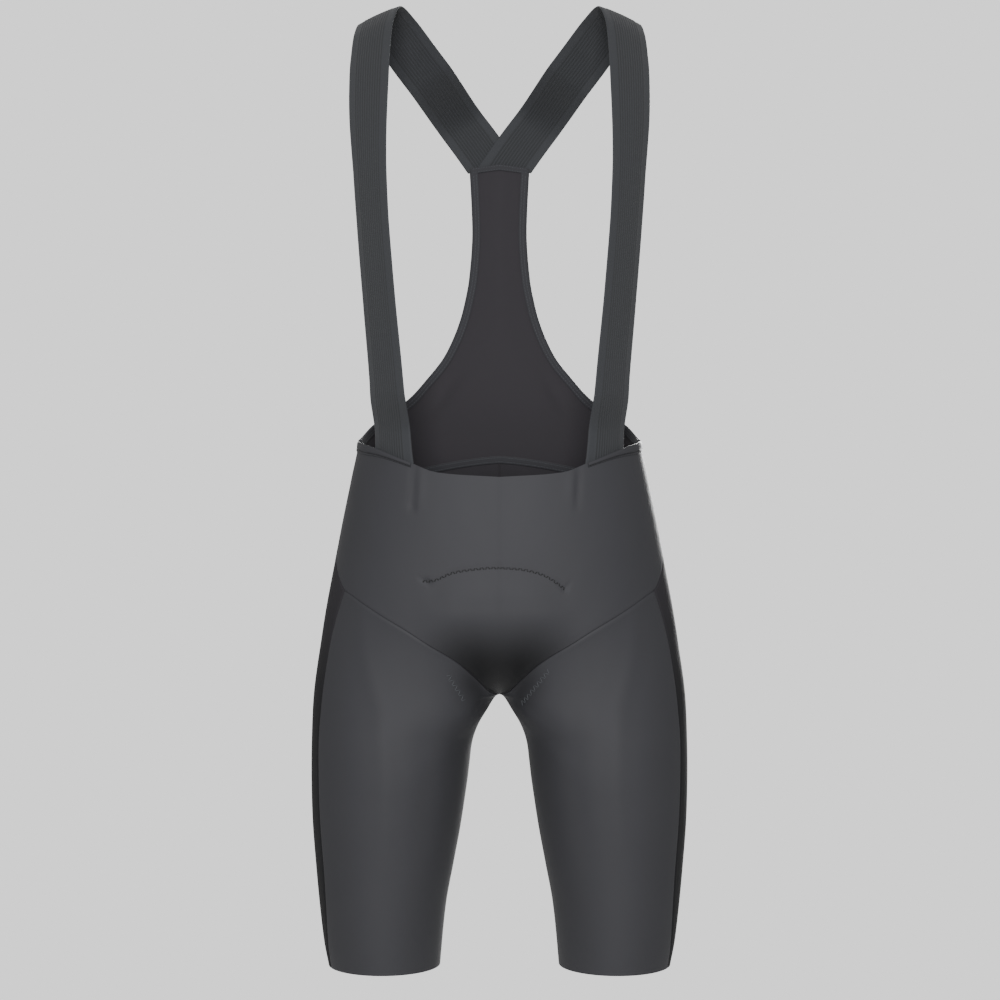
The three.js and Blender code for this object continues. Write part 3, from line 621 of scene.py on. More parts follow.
def front_panel(material):
    steps = graded(POINTED_STEPS + HIP_STEPS, 5, start=False)
    rows = graded(SIDE_STEPS + BIB_SIDE_STEPS, 8)
    step, row = np.meshgrid(steps, rows)
    around, foot = front_foot(step)
    share = row / rows[-1]
    side_height = np.where(
        row < SIDE_STEPS,
        mix(SIDE_SEAM_FOOT, SEAT_TOP_SIDE, row / SIDE_STEPS),
        mix(SEAT_TOP_SIDE, SIDE_TOP_HEIGHT, (row - SIDE_STEPS) / BIB_SIDE_STEPS))
    even = (side_height - SIDE_SEAM_FOOT) / (SIDE_TOP_HEIGHT - SIDE_SEAM_FOOT)
    climb = mix(share ** 2, even, eased(step, 0, steps[-1]))
    height = mix(foot, front_top(around), climb)
    halves = [half_panel(around, height, side, ("foot", "end"), KNIT_SHOWN, pad_relief) for side in (1, -1)]
    outer = both_halves(halves[0][0], halves[1][0])
    inner = both_halves(halves[0][1], halves[1][1])
    piece = wall("belly_panel", outer, inner, cloth_uv(outer), material)
    return declare(piece, ["front_panel"])


def leg_panel(side, name, material):
    step, row = np.meshgrid(graded(POINTED_STEPS, 8), graded(LEG_STEPS, 8, start=False))
    u, v = step / POINTED_STEPS, leg_row_share(row)
    edge_round, edge_height = side_panel_edge(row)
    top_round, top_height = pointed_seam(step)
    hem_round = side_panel_round(0)
    meet_round = pointed_round(PANELS_MEET_HEIGHT)
    around = mix(hem_round * u, top_round, v) + u * (edge_round - mix(hem_round, meet_round, v))
    height = v * top_height + mix(CROTCH_HEIGHT * v, edge_height, u)
    height = height - v * mix(CROTCH_HEIGHT, PANELS_MEET_HEIGHT, u)
    outer, inner = half_panel(around, height, side, ("start", "end", "top"), KNIT_SHOWN)
    piece = wall(f"thigh_panel_{name}", outer, inner, cloth_uv(outer), material)
    return declare(piece, [f"leg_panel_{name}"])


def back_panel(side, name, material):
    upper = HIP_STEPS + SIDE_STEPS
    rows = graded(LEG_STEPS + upper, 7, start=False)
    step, row = np.meshgrid(graded(SEAT_STEPS, 8), rows)
    low = side_panel_edge(np.minimum(row, LEG_STEPS))
    hip = hip_seam(np.clip(row - LEG_STEPS, 0, HIP_STEPS))
    side_climb = np.clip(row - LEG_STEPS - HIP_STEPS, 0, SIDE_STEPS) / SIDE_STEPS
    side_height = mix(SIDE_SEAM_FOOT, SEAT_TOP_SIDE, side_climb)
    on_leg, below_side = row <= LEG_STEPS, row <= LEG_STEPS + HIP_STEPS
    edge_round = np.where(on_leg, low[0], np.where(below_side, hip[0], SIDE_ROUND))
    edge_height = np.where(on_leg, low[1], np.where(below_side, hip[1], side_height))
    climb = np.clip(row - LEG_STEPS, 0, upper) / upper
    inseam_height = CROTCH_HEIGHT * leg_row_share(np.minimum(row, LEG_STEPS))
    centre = np.where(on_leg, inseam_height, mix(CROTCH_HEIGHT, SEAT_TOP, climb ** 1.6))
    u = step / SEAT_STEPS
    around = mix(edge_round, 1, u)
    height = mix(edge_height, centre, u)
    arch = eased(row, rows[-1] - SEAT_ARCH_ROWS, rows[-1])
    height = height + arch * (seat_seam(1 - u)[1] - mix(SEAT_TOP_SIDE, SEAT_TOP, u))
    outer, inner = half_panel(around, height, side, ("start", "end", "top"), KNIT_SHOWN)
    piece = wall(f"seat_panel_{name}", outer, inner, cloth_uv(outer), material)
    return declare(piece, [f"back_panel_{name}"])


def bib_back(material):
    steps = SEAT_STEPS + BIB_SIDE_STEPS
    step, row = np.meshgrid(graded(steps, 4, start=False), graded(BIB_STEPS, 10, end=False))
    around, height = bib_place(row, step / steps)
    halves = [half_panel(around, height, side, ("foot",), BIB_WALL * 0.8) for side in (1, -1)]
    outer = both_halves(halves[0][0], halves[1][0])
    inner = both_halves(halves[0][1], halves[1][1])
    piece = wall("bib_back_cloth", outer, inner, cloth_uv(outer), material)
    return declare(piece, ["bib_back"])


# Lines on the cloth for tapes and sewing: points and normals of the outer face.


def on_body(around, height, side, lift=0.0):
    normals = body_normal(around, height)
    points = body_point(around, height) + normals * lift
    return mirrored(points, side), mirrored(normals, side)


def round_at(from_centre, height, front):
    """The way round at a distance from the centre line, on the front or the back."""
    around = np.linspace(0, 0.3, 400)
    if not front:
        around = 1 - around
    reach = body_point(around, height)[..., 0]
    return around[np.argmax(reach > from_centre)]


def bib_edge_line(side, inboard, lift, rows=(0.15, BIB_STEPS)):
    """A line that runs beside the bib's bound edge, that many millimetres in from it."""
    row = np.linspace(*rows, 260)
    edge = body_point(*bib_place(row, 1.0))
    probe = body_point(*bib_place(row, 0.96))
    along = unit(np.gradient(edge, axis=0))
    inward = probe - edge
    square = inward - along * np.sum(inward * along, axis=1, keepdims=True)
    reach = inboard / np.linalg.norm(square, axis=1)
    return on_body(*bib_place(row, 1 - 0.04 * reach), side, lift)


def ribbon(name, centre, normals, width, thick, material, crown=0.0):
    """A flat tape along a line, with its wall on the side of the normals."""
    along = unit(np.gradient(centre, axis=0))
    across = unit(np.cross(normals, along))
    offsets = np.linspace(-0.5, 0.5, 9)
    rise = crown * (1 - (2 * offsets) ** 2)
    outer = centre[:, None] + across[:, None] * (offsets * width)[None, :, None]
    outer = outer + normals[:, None] * (thick / 2 + rise)[None, :, None]
    inner = outer - normals[:, None] * thick
    return wall(name, outer, inner, cloth_uv(outer), material)


def swept(name, rings, uv_across, material, sharp_angle=0.9):
    """A closed solid through matching rings of points, with its ends filled."""
    count, around = rings.shape[:2]
    index = np.arange(count * around).reshape(count, around)
    following = np.roll(index, -1, axis=1)
    side = np.stack([index[:-1], following[:-1], following[1:], index[1:]], axis=-1).reshape(-1, 4)
    points = rings.reshape(-1, 3)
    turned = outward(points, side)
    faces = turned.tolist()
    first, last = index[0].tolist(), index[-1].tolist()
    flipped = turned[0].tolist() != side[0].tolist()
    faces.append(first if flipped else first[::-1])
    faces.append(last[::-1] if flipped else last)
    length = run_length(rings, 0)[:, :1]
    uv = np.stack(np.broadcast_arrays(uv_across[None, :], length), axis=-1).reshape(-1, 2)
    return new_object(name, points, faces, uv, material, sharp_angle)


def binding(side, name, material):
    """The folded tape over the bib's edge: a rounded fold, flat on both faces of the cloth."""
    inner_points, inner_normals = bib_edge_line(side, BINDING_WIDTH, 0.0)
    edge_points, edge_normals = bib_edge_line(side, 0.0, 0.0)
    across = unit(edge_points - inner_points)
    outside, inside = SEAM_GAP + TAPE_WALL, SEAM_GAP * 0.4
    back = -BIB_WALL
    fold = np.linspace(np.pi / 2, -np.pi / 2, 9)
    middle, radius = back / 2, outside - back / 2
    slot = inside - back / 2
    ring = []
    for share in np.linspace(0, 1, 5):
        soft = 0.25 * np.sin(np.pi * share)
        foot = mix(inner_points, edge_points, share)
        normal = unit(mix(inner_normals, edge_normals, share))
        ring.append((foot + normal * (outside - 0.15 + soft * 0.6), share * BINDING_WIDTH))
    for angle in fold:
        reach = edge_points + across * (radius * np.cos(angle) * 0.8)
        ring.append((reach + edge_normals * (middle + radius * np.sin(angle)), BINDING_WIDTH + 1))
    for share in np.linspace(1, 0, 5):
        soft = 0.25 * np.sin(np.pi * share)
        foot = mix(inner_points, edge_points, share)
        normal = unit(mix(inner_normals, edge_normals, share))
        ring.append((foot + normal * (back - outside + 0.15 - soft * 0.6), share * BINDING_WIDTH))
    ring.append((inner_points + inner_normals * (back - inside), 0.0))
    for angle in fold[::-2]:
        reach = edge_points + across * (slot * np.cos(angle) * 0.5)
        ring.append((reach + edge_normals * (middle + slot * np.sin(angle)), BINDING_WIDTH))
    ring.append((inner_points + inner_normals * inside, 0.0))
    rings = np.stack([points for points, _ in ring], axis=1)
    piece = swept(f"edge_tape_{name}", rings, np.array([u for _, u in ring]), material)
    return declare(piece, [f"edge_binding_{name}"])


def hem_band_height(around):
    return mix(4, 9, eased(around, 0.19, 0.4))


def hem_band(side, name, material):
    """The turned hem at the side of the waist: a little proud of the belly, its stitch line sunk in."""
    around = np.linspace(0.19, 0.497, 90)
    top = front_top(around)
    height = hem_band_height(around)
    over = [
        (1.02, 0.05), (1.0, 0.7), (0.92, 1.0), (0.78, 0.35),
        (0.6, 1.0), (0.35, 1.2), (0.12, 1.05), (0.01, 0.7)]
    under = [1.0, 0.98, 0.92, 0.78, 0.62, 0.35, 0.12, 0.03]
    outer = np.stack([on_body(around, top - drop * height, side, lift)[0] for drop, lift in over])
    inner = np.stack([on_body(around, top - drop * height, side, -0.1)[0] for drop in under])
    piece = wall(f"waist_hem_band_{name}", outer, inner, cloth_uv(outer), material)
    return declare(piece, [f"waist_hem_{name}"])


# The straps.


def route_points(rows):
    """The strap's centre line at any row of its table, as a centripetal Catmull-Rom curve."""
    knots = np.stack([STRAP_ROUTE["x"], STRAP_ROUTE["y"], STRAP_ROUTE["height"]], axis=1)
    padded = np.concatenate([[2 * knots[0] - knots[1]], knots, [2 * knots[-1] - knots[-2]]])
    i = np.clip(np.floor(rows).astype(int), 0, len(knots) - 2)
    t = (rows - i)[..., None]
    p0, p1, p2, p3 = padded[i], padded[i + 1], padded[i + 2], padded[i + 3]
    gap0, gap1, gap2 = (
        np.sqrt(np.linalg.norm(b - a, axis=-1, keepdims=True)) for a, b in ((p0, p1), (p1, p2), (p2, p3)))
    slope1 = gap1 * ((p1 - p0) / gap0 - (p2 - p0) / (gap0 + gap1) + (p2 - p1) / gap1)
    slope2 = gap1 * ((p2 - p1) / gap1 - (p3 - p1) / (gap1 + gap2) + (p3 - p2) / gap2)
    square = -3 * p1 + 3 * p2 - 2 * slope1 - slope2
    cube = 2 * p1 - 2 * p2 + slope1 + slope2
    return p1 + slope1 * t + square * t * t + cube * t * t * t


def strap_points(rows, across, off, lift):
    """Points of the left strap. Across is towards the neck edge and off is out of its outer face."""
    rows, across, off = np.broadcast_arrays(rows, across, off)
    last = len(STRAP_ROUTE["x"]) - 1
    centre = route_points(rows)
    along = unit(route_points(np.minimum(rows + 0.002, last)) - route_points(np.maximum(rows - 0.002, 0)))
    directions = np.stack([STRAP_ROUTE["to_x"], STRAP_ROUTE["to_y"], STRAP_ROUTE["to_z"]], axis=1)
    i = np.clip(np.floor(rows).astype(int), 0, last - 1)
    sideways = mix(directions[i], directions[i + 1], (rows - i)[..., None])
    sideways = unit(sideways - along * np.sum(sideways * along, axis=-1, keepdims=True))
    out = np.cross(along, sideways)
    reach = across / (STRAP_WIDTH / 2)
    point = centre + sideways * across[..., None]
    point = point + out * (STRAP_CROWN_BOW * (1 - reach * reach))[..., None]
    held = (1 - eased(point[..., 2], *FOOT_LET_GO)) * (centre[..., 1] < 0)
    step = 0.01
    depth = KNIT_WALL + FOOT_CLEARANCE + RIB_RISE + STRAP_WALL / 2
    foot_sine = np.minimum((np.abs(centre[..., 0]) + FOOT_INBOARD) / body_half(point[..., 2]), 0.95)
    foot_round = np.arcsin(foot_sine ** (1 / SECTION_POWER)) / np.pi
    foot = body_point(foot_round, point[..., 2])
    beside = body_point(foot_round - step, point[..., 2])
    around = foot_round - across * step / np.linalg.norm(foot - beside, axis=-1)
    seat = body_point(around, point[..., 2]) - body_normal(around, point[..., 2]) * depth
    point = mix(point, seat, held[..., None])
    on_back = (1 - eased(centre[..., 2], *JOINT_TAKE_UP)) * (centre[..., 1] > 0)
    sine = np.minimum(np.abs(point[..., 0]) / body_half(point[..., 2]), 1) ** (1 / SECTION_POWER)
    back_y = body_back(point[..., 2]) * np.sqrt(1 - sine * sine) ** SECTION_POWER
    rest = back_y + SEAM_GAP + STRAP_WALL / 2 + lift
    point[..., 1] = mix(point[..., 1], rest, on_back)
    return point + out * off[..., None]


def strap_end_row(across):
    """Where each line along the strap meets its level cut at the back."""
    rows = np.linspace(len(STRAP_ROUTE["x"]) - 5, len(STRAP_ROUTE["x"]) - 1, 400)
    heights = strap_points(rows[:, None], across[None, :], 0.0, 0.0)[..., 2]
    return rows[np.argmax(heights < STRAP_END_HEIGHT, axis=0)]


def rib_profile(across):
    """Ribs in the strap's middle, from 0 in the grooves to 1 on the crests, and none on the selvedges."""
    ribbed = RIB_COUNT * RIB_PITCH / 2
    wave = 0.5 - 0.5 * np.cos(2 * np.pi * (across + ribbed) / RIB_PITCH)
    return np.where(np.abs(across) < ribbed, wave ** 0.7, 0.0)


def strap_rings(side, lift, spacing=2.2):
    edge = STRAP_WIDTH / 2
    ribbed = RIB_COUNT * RIB_PITCH / 2
    selvedge = np.linspace(ribbed, edge - 0.5, 5)
    middle = np.linspace(-ribbed, ribbed, RIB_COUNT * 7 + 1)
    face = np.concatenate([-selvedge[:0:-1], middle, selvedge[1:]])
    thick = STRAP_WALL / 2
    outer = thick - 0.1 + RIB_RISE * 0.75 * rib_profile(face)
    outer = np.where(np.abs(face) >= ribbed, thick - 0.05, outer)
    inner = -thick + 0.35 - 0.55 * rib_profile(face)
    inner = np.where(np.abs(face) >= ribbed, -thick, inner)
    across = np.concatenate([face, [edge, edge], face[::-1], [-edge, -edge]])
    off = np.concatenate([outer, [0.45, -0.45], inner[::-1], [-0.45, 0.45]])
    fine = np.linspace(0, strap_end_row(np.zeros(1))[0], 2000)
    length = run_length(route_points(fine)[:, None], 0)[:, 0]
    rows = np.interp(np.arange(0, length[-1], spacing), length, fine)
    rows = np.append(rows, fine[-1])
    ends = np.interp(across, face, strap_end_row(face))
    slant = np.maximum((rows - SLANT_START_ROW) / (rows[-1] - SLANT_START_ROW), 0)
    places = rows[:, None] + slant[:, None] * (ends - rows[-1])[None, :]
    points = strap_points(places, across[None, :], off[None, :], lift)
    return mirrored(points, side), across


def strap(side, name, lift, material):
    rings, across = strap_rings(side, lift)
    piece = swept(f"ribbed_strap_{name}", rings, across, material, sharp_angle=1.2)
    return declare(piece, [f"strap_{name}"])


# Sewing: short threads that lie on the cloth.


# A stitch from end to end: the place, a share of its length, and its girth and rise, shares of its thickness.
STITCH_FORM = [
    (-0.5, 0.25, -0.35),
    (-0.36, 0.85, 0.05),
    (0.0, 1.0, 0.2),
    (0.36, 0.85, 0.05),
    (0.5, 0.25, -0.35),
]


def threads(name, points, normals, material, length=2.3, pitch=3.0, thick=0.5, slant=0.0):
    """Stitches along a line. Slant turns them, each the other way from the one before."""
    run = run_length(points[:, None], 0)[:, 0]
    at = np.arange(pitch / 2, run[-1] - length / 2, pitch)
    place = np.stack([np.interp(at, run, points[:, k]) for k in range(3)], axis=1)
    normal = unit(np.stack([np.interp(at, run, normals[:, k]) for k in range(3)], axis=1))
    along = unit(np.stack([np.interp(at, run, np.gradient(points[:, k], run)) for k in range(3)], axis=1))
    across = unit(np.cross(normal, along))
    turn = np.where(np.arange(len(at)) % 2 == 0, 1.0, -1.0)
    angle = (slant * turn)[:, None]
    direction = along * np.cos(angle) + across * np.sin(angle)
    beside = unit(np.cross(normal, direction))
    turns = np.linspace(0, 2 * np.pi, 6, endpoint=False)
    rings = []
    for share, girth, rise in STITCH_FORM:
        centre = place + direction * (share * length) + normal * (rise * thick)
        circle = [centre + (beside * np.cos(t) + normal * np.sin(t)) * (girth * thick / 2) for t in turns]
        rings.append(np.stack(circle, axis=1))
    solid = np.stack(rings, axis=1)
    count, stops, around = solid.shape[:3]
    index = np.arange(count * stops * around).reshape(count, stops, around)
    following = np.roll(index, -1, axis=2)
    sides = np.stack([index[:, :-1], index[:, 1:], following[:, 1:], following[:, :-1]], axis=-1)
    caps = np.concatenate([index[:, 0], index[:, -1, ::-1]])
    faces = sides.reshape(-1, 4)[:, ::-1].tolist() + caps.tolist()
    piece = new_object(name, solid.reshape(-1, 3), faces, None, material, sharp_angle=3.0)
    return declare(piece, [])


def over_the_middle(share, points, normals):
    """A line found on the left side, turned over to the right where its share is negative."""
    turned = np.ones((len(share), 3))
    turned[share < 0, 0] = -1
    return points * turned, normals * turned


def seat_seam_line(rise, lift, reach=1.0):
    share = np.linspace(-reach, reach, 400)
    around, height = seat_seam(np.abs(share))
    return over_the_middle(share, *on_body(around, height + rise, 1, lift))


def yoke_line(drop, lift, reach=0.8):
    share = np.linspace(-reach, reach, 60)
    around, height = bib_place(np.full(len(share), float(BIB_STEPS)), np.abs(share))
    return over_the_middle(share, *on_body(around, height - drop, 1, lift))


# Colours and materials.


def linear(hex_colour):
    """An sRGB hex colour as linear RGBA."""
    channels = [int(hex_colour[i:i + 2], 16) / 255 for i in (1, 3, 5)]
    straight = [c / 12.92 if c <= 0.04045 else ((c + 0.055) / 1.055) ** 2.4 for c in channels]
    return (*straight, 1.0)


def add_node(tree, kind, inputs=None, **settings):
    """A node with its settings, its values and the links into it."""
    node = tree.nodes.new(kind)
    for name, value in settings.items():
        setattr(node, name, value)
    for socket, value in (inputs or {}).items():
        if isinstance(value, bpy.types.NodeSocket):
            tree.links.new(value, node.inputs[socket])
        else:
            node.inputs[socket].default_value = value
    return node


def bands(pitch_mm):
    """The wave texture's scale for bands that far apart, on lengths in metres."""
    return np.pi / (10 * pitch_mm * MM)


# The middle of the painted shade between the legs, just in front of the crotch.
SHADE_CENTRE = (0.0, -0.066, (CROTCH_HEIGHT + 16 - SHOULDER_HEIGHT) * MM)
# The painted shade is wider than it is high, so widths are drawn in before they are measured.
SHADE_NARROWING = (0.74, 1, 1)
# Over these levels, in metres, the side knit goes over from its own black to a painted lighter grey, for the
# light that the hips and seat catch from above.
PAINTED_LIGHT_LEVELS = (-0.66, -0.53)


def new_surface(name, roughness, specular, sheen=0.0):
    """A new material, its node tree and its shader, with the shader's own values set."""
    material = bpy.data.materials.new(name)
    material.use_nodes = True
    shader = material.node_tree.nodes["Principled BSDF"]
    shader.inputs["Roughness"].default_value = roughness
    shader.inputs["Specular IOR Level"].default_value = specular
    shader.inputs["Sheen Weight"].default_value = sheen
    return material, material.node_tree, shader


def knit(
        name, light, dark, wale_mm, bump_mm, roughness=0.85, sheen=0.03, specular=0.12, mottle=0.35,
        painted_hip_light=None, painted_shade=None):
    """Weft-knit polyamide and elastane: matt loops with a fine grain and a faint sheen at grazing angles."""
    material, tree, shader = new_surface(name, roughness, specular, sheen)
    shader.inputs["Sheen Roughness"].default_value = 0.45
    lengths = add_node(tree, "ShaderNodeUVMap", uv_map="cloth")
    wales = add_node(
        tree, "ShaderNodeTexWave", {"Vector": lengths.outputs[0], "Scale": bands(wale_mm), "Distortion": 0.6},
        wave_type="BANDS", bands_direction="X", wave_profile="SIN")
    courses = add_node(
        tree, "ShaderNodeTexWave",
        {"Vector": lengths.outputs[0], "Scale": bands(wale_mm * 0.8), "Distortion": 0.6},
        wave_type="BANDS", bands_direction="Y", wave_profile="SIN")
    grain = add_node(
        tree, "ShaderNodeTexNoise", {"Vector": lengths.outputs[0], "Scale": 900.0, "Detail": 2.0})
    loops = add_node(
        tree, "ShaderNodeMath", {0: wales.outputs["Fac"], 1: courses.outputs["Fac"]}, operation="MULTIPLY")
    height = add_node(
        tree, "ShaderNodeMath",
        {0: grain.outputs["Fac"], 1: 0.5, 2: loops.outputs[0]}, operation="MULTIPLY_ADD")
    cloud = add_node(
        tree, "ShaderNodeTexNoise",
        {"Vector": lengths.outputs[0], "Scale": 14.0, "Detail": 3.0, "Roughness": 0.55})
    blend = add_node(
        tree, "ShaderNodeMath",
        {0: cloud.outputs["Fac"], 1: mottle, 2: 0.5 - mottle / 2}, operation="MULTIPLY_ADD")
    worn = add_node(
        tree, "ShaderNodeMath",
        {0: loops.outputs[0], 1: 0.22, 2: blend.outputs[0]}, operation="MULTIPLY_ADD", use_clamp=True)
    colour = add_node(
        tree, "ShaderNodeMix",
        {"Factor": worn.outputs[0], 6: linear(dark), 7: linear(light)}, data_type="RGBA")
    bump = add_node(
        tree, "ShaderNodeBump", {"Height": height.outputs[0], "Distance": bump_mm * MM, "Strength": 0.6})
    # Painted light: higher up, the colour goes over to a lighter grey for the light on the hips and seat.
    if painted_hip_light:
        place = add_node(tree, "ShaderNodeTexCoord")
        level = add_node(tree, "ShaderNodeSeparateXYZ", {0: place.outputs["Object"]})
        low, high = PAINTED_LIGHT_LEVELS
        over_hip = add_node(
            tree, "ShaderNodeMapRange", {"Value": level.outputs[2], "From Min": low, "From Max": high},
            interpolation_type="SMOOTHSTEP")
        colour = add_node(
            tree, "ShaderNodeMix",
            {"Factor": over_hip.outputs[0], 6: colour.outputs[2], 7: linear(painted_hip_light)}, data_type="RGBA")
    # Painted shade: the colour darkens towards SHADE_CENTRE, where the cloth folds under between the legs.
    if painted_shade:
        shade, near, far = painted_shade
        place = add_node(tree, "ShaderNodeTexCoord")
        drawn_in = add_node(
            tree, "ShaderNodeVectorMath", {0: place.outputs["Object"], 1: SHADE_NARROWING}, operation="MULTIPLY")
        away = add_node(
            tree, "ShaderNodeVectorMath", {0: drawn_in.outputs[0], 1: SHADE_CENTRE}, operation="DISTANCE")
        clear_of_painted_shade = add_node(
            tree, "ShaderNodeMapRange", {"Value": away.outputs["Value"], "From Min": near, "From Max": far},
            interpolation_type="SMOOTHSTEP")
        colour = add_node(
            tree, "ShaderNodeMix",
            {"Factor": clear_of_painted_shade.outputs[0], 6: linear(shade), 7: colour.outputs[2]}, data_type="RGBA")
    tree.links.new(colour.outputs[2], shader.inputs["Base Color"])
    tree.links.new(bump.outputs[0], shader.inputs["Normal"])
    return material


def woven_elastic(name, light, dark):
    """Ribbed woven elastic: covered rubber warps in cords, with fine weft bars that show in the grooves."""
    material, tree, shader = new_surface(name, 0.8, 0.12, 0.02)
    lengths = add_node(tree, "ShaderNodeUVMap", uv_map="cloth")
    # Weft bars are 0.6 mm apart on the real strap, drawn at 1.3 mm so that they show.
    weft = add_node(
        tree, "ShaderNodeTexWave", {"Vector": lengths.outputs[0], "Scale": bands(1.3), "Distortion": 1.0},
        wave_type="BANDS", bands_direction="Y", wave_profile="SIN")
    threads_fine = add_node(
        tree, "ShaderNodeTexWave", {"Vector": lengths.outputs[0], "Scale": bands(0.7), "Distortion": 0.8},
        wave_type="BANDS", bands_direction="X", wave_profile="SIN")
    weave = add_node(
        tree, "ShaderNodeMath",
        {0: weft.outputs["Fac"], 1: 0.6, 2: threads_fine.outputs["Fac"]}, operation="MULTIPLY_ADD")
    across = add_node(tree, "ShaderNodeSeparateXYZ", {0: lengths.outputs[0]})
    off_middle = add_node(tree, "ShaderNodeMath", {0: across.outputs[0]}, operation="ABSOLUTE")
    selvedge = add_node(
        tree, "ShaderNodeMath", {0: off_middle.outputs[0], 1: RIB_COUNT * RIB_PITCH / 2 * MM},
        operation="GREATER_THAN")
    cords = add_node(
        tree, "ShaderNodeTexWave",
        {"Vector": lengths.outputs[0], "Scale": bands(RIB_PITCH), "Distortion": 0.5, "Detail": 3.0},
        wave_type="BANDS", bands_direction="X", wave_profile="SIN")
    ribbed = add_node(
        tree, "ShaderNodeMath", {0: cords.outputs["Fac"], 1: selvedge.outputs[0]}, operation="MAXIMUM")
    shade = add_node(
        tree, "ShaderNodeMath",
        {0: weft.outputs["Fac"], 1: 0.25, 2: ribbed.outputs[0]}, operation="MULTIPLY_ADD",
        use_clamp=True)
    colour = add_node(
        tree, "ShaderNodeMix",
        {"Factor": shade.outputs[0], 6: linear(dark), 7: linear(light)}, data_type="RGBA")
    bump = add_node(
        tree, "ShaderNodeBump", {"Height": weave.outputs[0], "Distance": 0.12 * MM, "Strength": 0.7})
    tree.links.new(colour.outputs[2], shader.inputs["Base Color"])
    tree.links.new(bump.outputs[0], shader.inputs["Normal"])
    return material


def thread(name, light, dark):
    """Spun polyester sewing thread: as dark as the cloth, with a fine uneven twist."""
    material, tree, shader = new_surface(name, 0.6, 0.12)
    place = add_node(tree, "ShaderNodeTexCoord")
    twist = add_node(tree, "ShaderNodeTexNoise", {"Vector": place.outputs["Object"], "Scale": 1500.0})
    colour = add_node(
        tree, "ShaderNodeMix",
        {"Factor": twist.outputs["Fac"], 6: linear(dark), 7: linear(light)}, data_type="RGBA")
    tree.links.new(colour.outputs[2], shader.inputs["Base Color"])
    return material


def matt_paper(name, colour_hex):
    """A plain painted floor: matt and pale, with the faint mottle of a rolled coat."""
    material, tree, shader = new_surface(name, 0.9, 0.5)
    place = add_node(tree, "ShaderNodeTexCoord")
    coat = add_node(tree, "ShaderNodeTexNoise", {"Vector": place.outputs["Object"], "Scale": 6.0})
    colour = add_node(
        tree, "ShaderNodeMix",
        {"Factor": coat.outputs["Fac"], 6: linear("#f0f0ef"), 7: linear(colour_hex)}, data_type="RGBA")
    tree.links.new(colour.outputs[2], shader.inputs["Base Color"])
    return material


# Painted shade: the front and thigh knits darken to nearly black towards the crotch, where the cloth folds under
# between the legs and lies in its own shadow.
SMOOTH_KNIT = {"wale_mm": 1.1, "bump_mm": 0.05, "roughness": 0.68, "sheen": 0.0, "specular": 0.07}
FRONT_KNIT = knit(
    "charcoal_front_knit", "#1c1c1e", "#161618", painted_shade=("#070708", 0.018, 0.082), **SMOOTH_KNIT)
THIGH_KNIT = knit("charcoal_thigh_knit", "#1c1c1e", "#161618", painted_shade=("#09090a", 0.0, 0.042), **SMOOTH_KNIT)
# Painted light: higher up, over the hips and seat, the black knit is made a lighter grey for the light they
# catch from above.
SIDE_KNIT = knit(
    "near_black_side_knit", "#0e0e0f", "#09090a", wale_mm=1.1, bump_mm=0.06, sheen=0.0, specular=0.05,
    painted_hip_light="#151416")
BIB_KNIT = knit("light_bib_knit", "#131114", "#0f0e10", wale_mm=1.2, bump_mm=0.06, roughness=0.85)
STRAP_ELASTIC = woven_elastic("ribbed_strap_elastic", "#151618", "#0d0e0f")
BINDING_TAPE = knit("folded_edge_tape", "#131316", "#0d0d0f", wale_mm=1.3, bump_mm=0.08, roughness=0.8)
DARK_THREAD = thread("charcoal_thread", "#2b2d2f", "#141517")
SHADE_THREAD = thread("black_thread", "#070708", "#030303")

belly = front_panel(FRONT_KNIT)
thighs = [leg_panel(1, "left", THIGH_KNIT), leg_panel(-1, "right", THIGH_KNIT)]
seats = [back_panel(1, "left", SIDE_KNIT), back_panel(-1, "right", SIDE_KNIT)]
bib = bib_back(BIB_KNIT)
bindings = [binding(1, "left", BINDING_TAPE), binding(-1, "right", BINDING_TAPE)]
hem_bands = [hem_band(1, "left", FRONT_KNIT), hem_band(-1, "right", FRONT_KNIT)]
straps = [strap(1, "left", 0.0, STRAP_ELASTIC), strap(-1, "right", UPPER_STRAP_LIFT, STRAP_ELASTIC)]

points, normals = seat_seam_line(0.0, -KNIT_SHOWN - 0.9, reach=0.96)
seam_tape = ribbon("seat_seam_tape", points, -normals, SEAM_TAPE_WIDTH, TAPE_THICK, BINDING_TAPE, crown=0.2)
declare(seam_tape, ["waist_seam_tape"])
points, normals = yoke_line(2.2, -BIB_WALL - 0.7, reach=0.97)
joint_tape = ribbon("joint_tape", points, -normals, JOINT_TAPE_WIDTH, TAPE_THICK, BINDING_TAPE, crown=0.25)
declare(joint_tape, ["yoke_tape"])

for side, name in ((1, "left"), (-1, "right")):
    for row, inboard in enumerate(BINDING_STITCH_ROWS):
        for face, lift in (("inside", -BIB_WALL - SEAM_GAP - TAPE_WALL), ("outside", SEAM_GAP + TAPE_WALL)):
            line = bib_edge_line(side, inboard, lift, rows=(0.3, BIB_STEPS - 0.2))
            threads(f"binding_stitches_{face}_{name}_{row}", *line, DARK_THREAD)

for row, rise in enumerate(SEAM_STITCH_ROWS):
    points, normals = seat_seam_line(rise, -KNIT_SHOWN - 1.5, reach=0.95)
    threads(f"seam_tape_stitches_{row}", points, -normals, DARK_THREAD)
    threads(f"seat_seam_stitches_{row}", *seat_seam_line(rise, 0.1, reach=0.99), SHADE_THREAD)
for row, drop in enumerate(JOINT_STITCH_ROWS):
    points, normals = yoke_line(drop, -BIB_WALL - 1.2, reach=0.95)
    threads(f"joint_tape_stitches_{row}", points, -normals, DARK_THREAD, pitch=2.6, length=2.0)

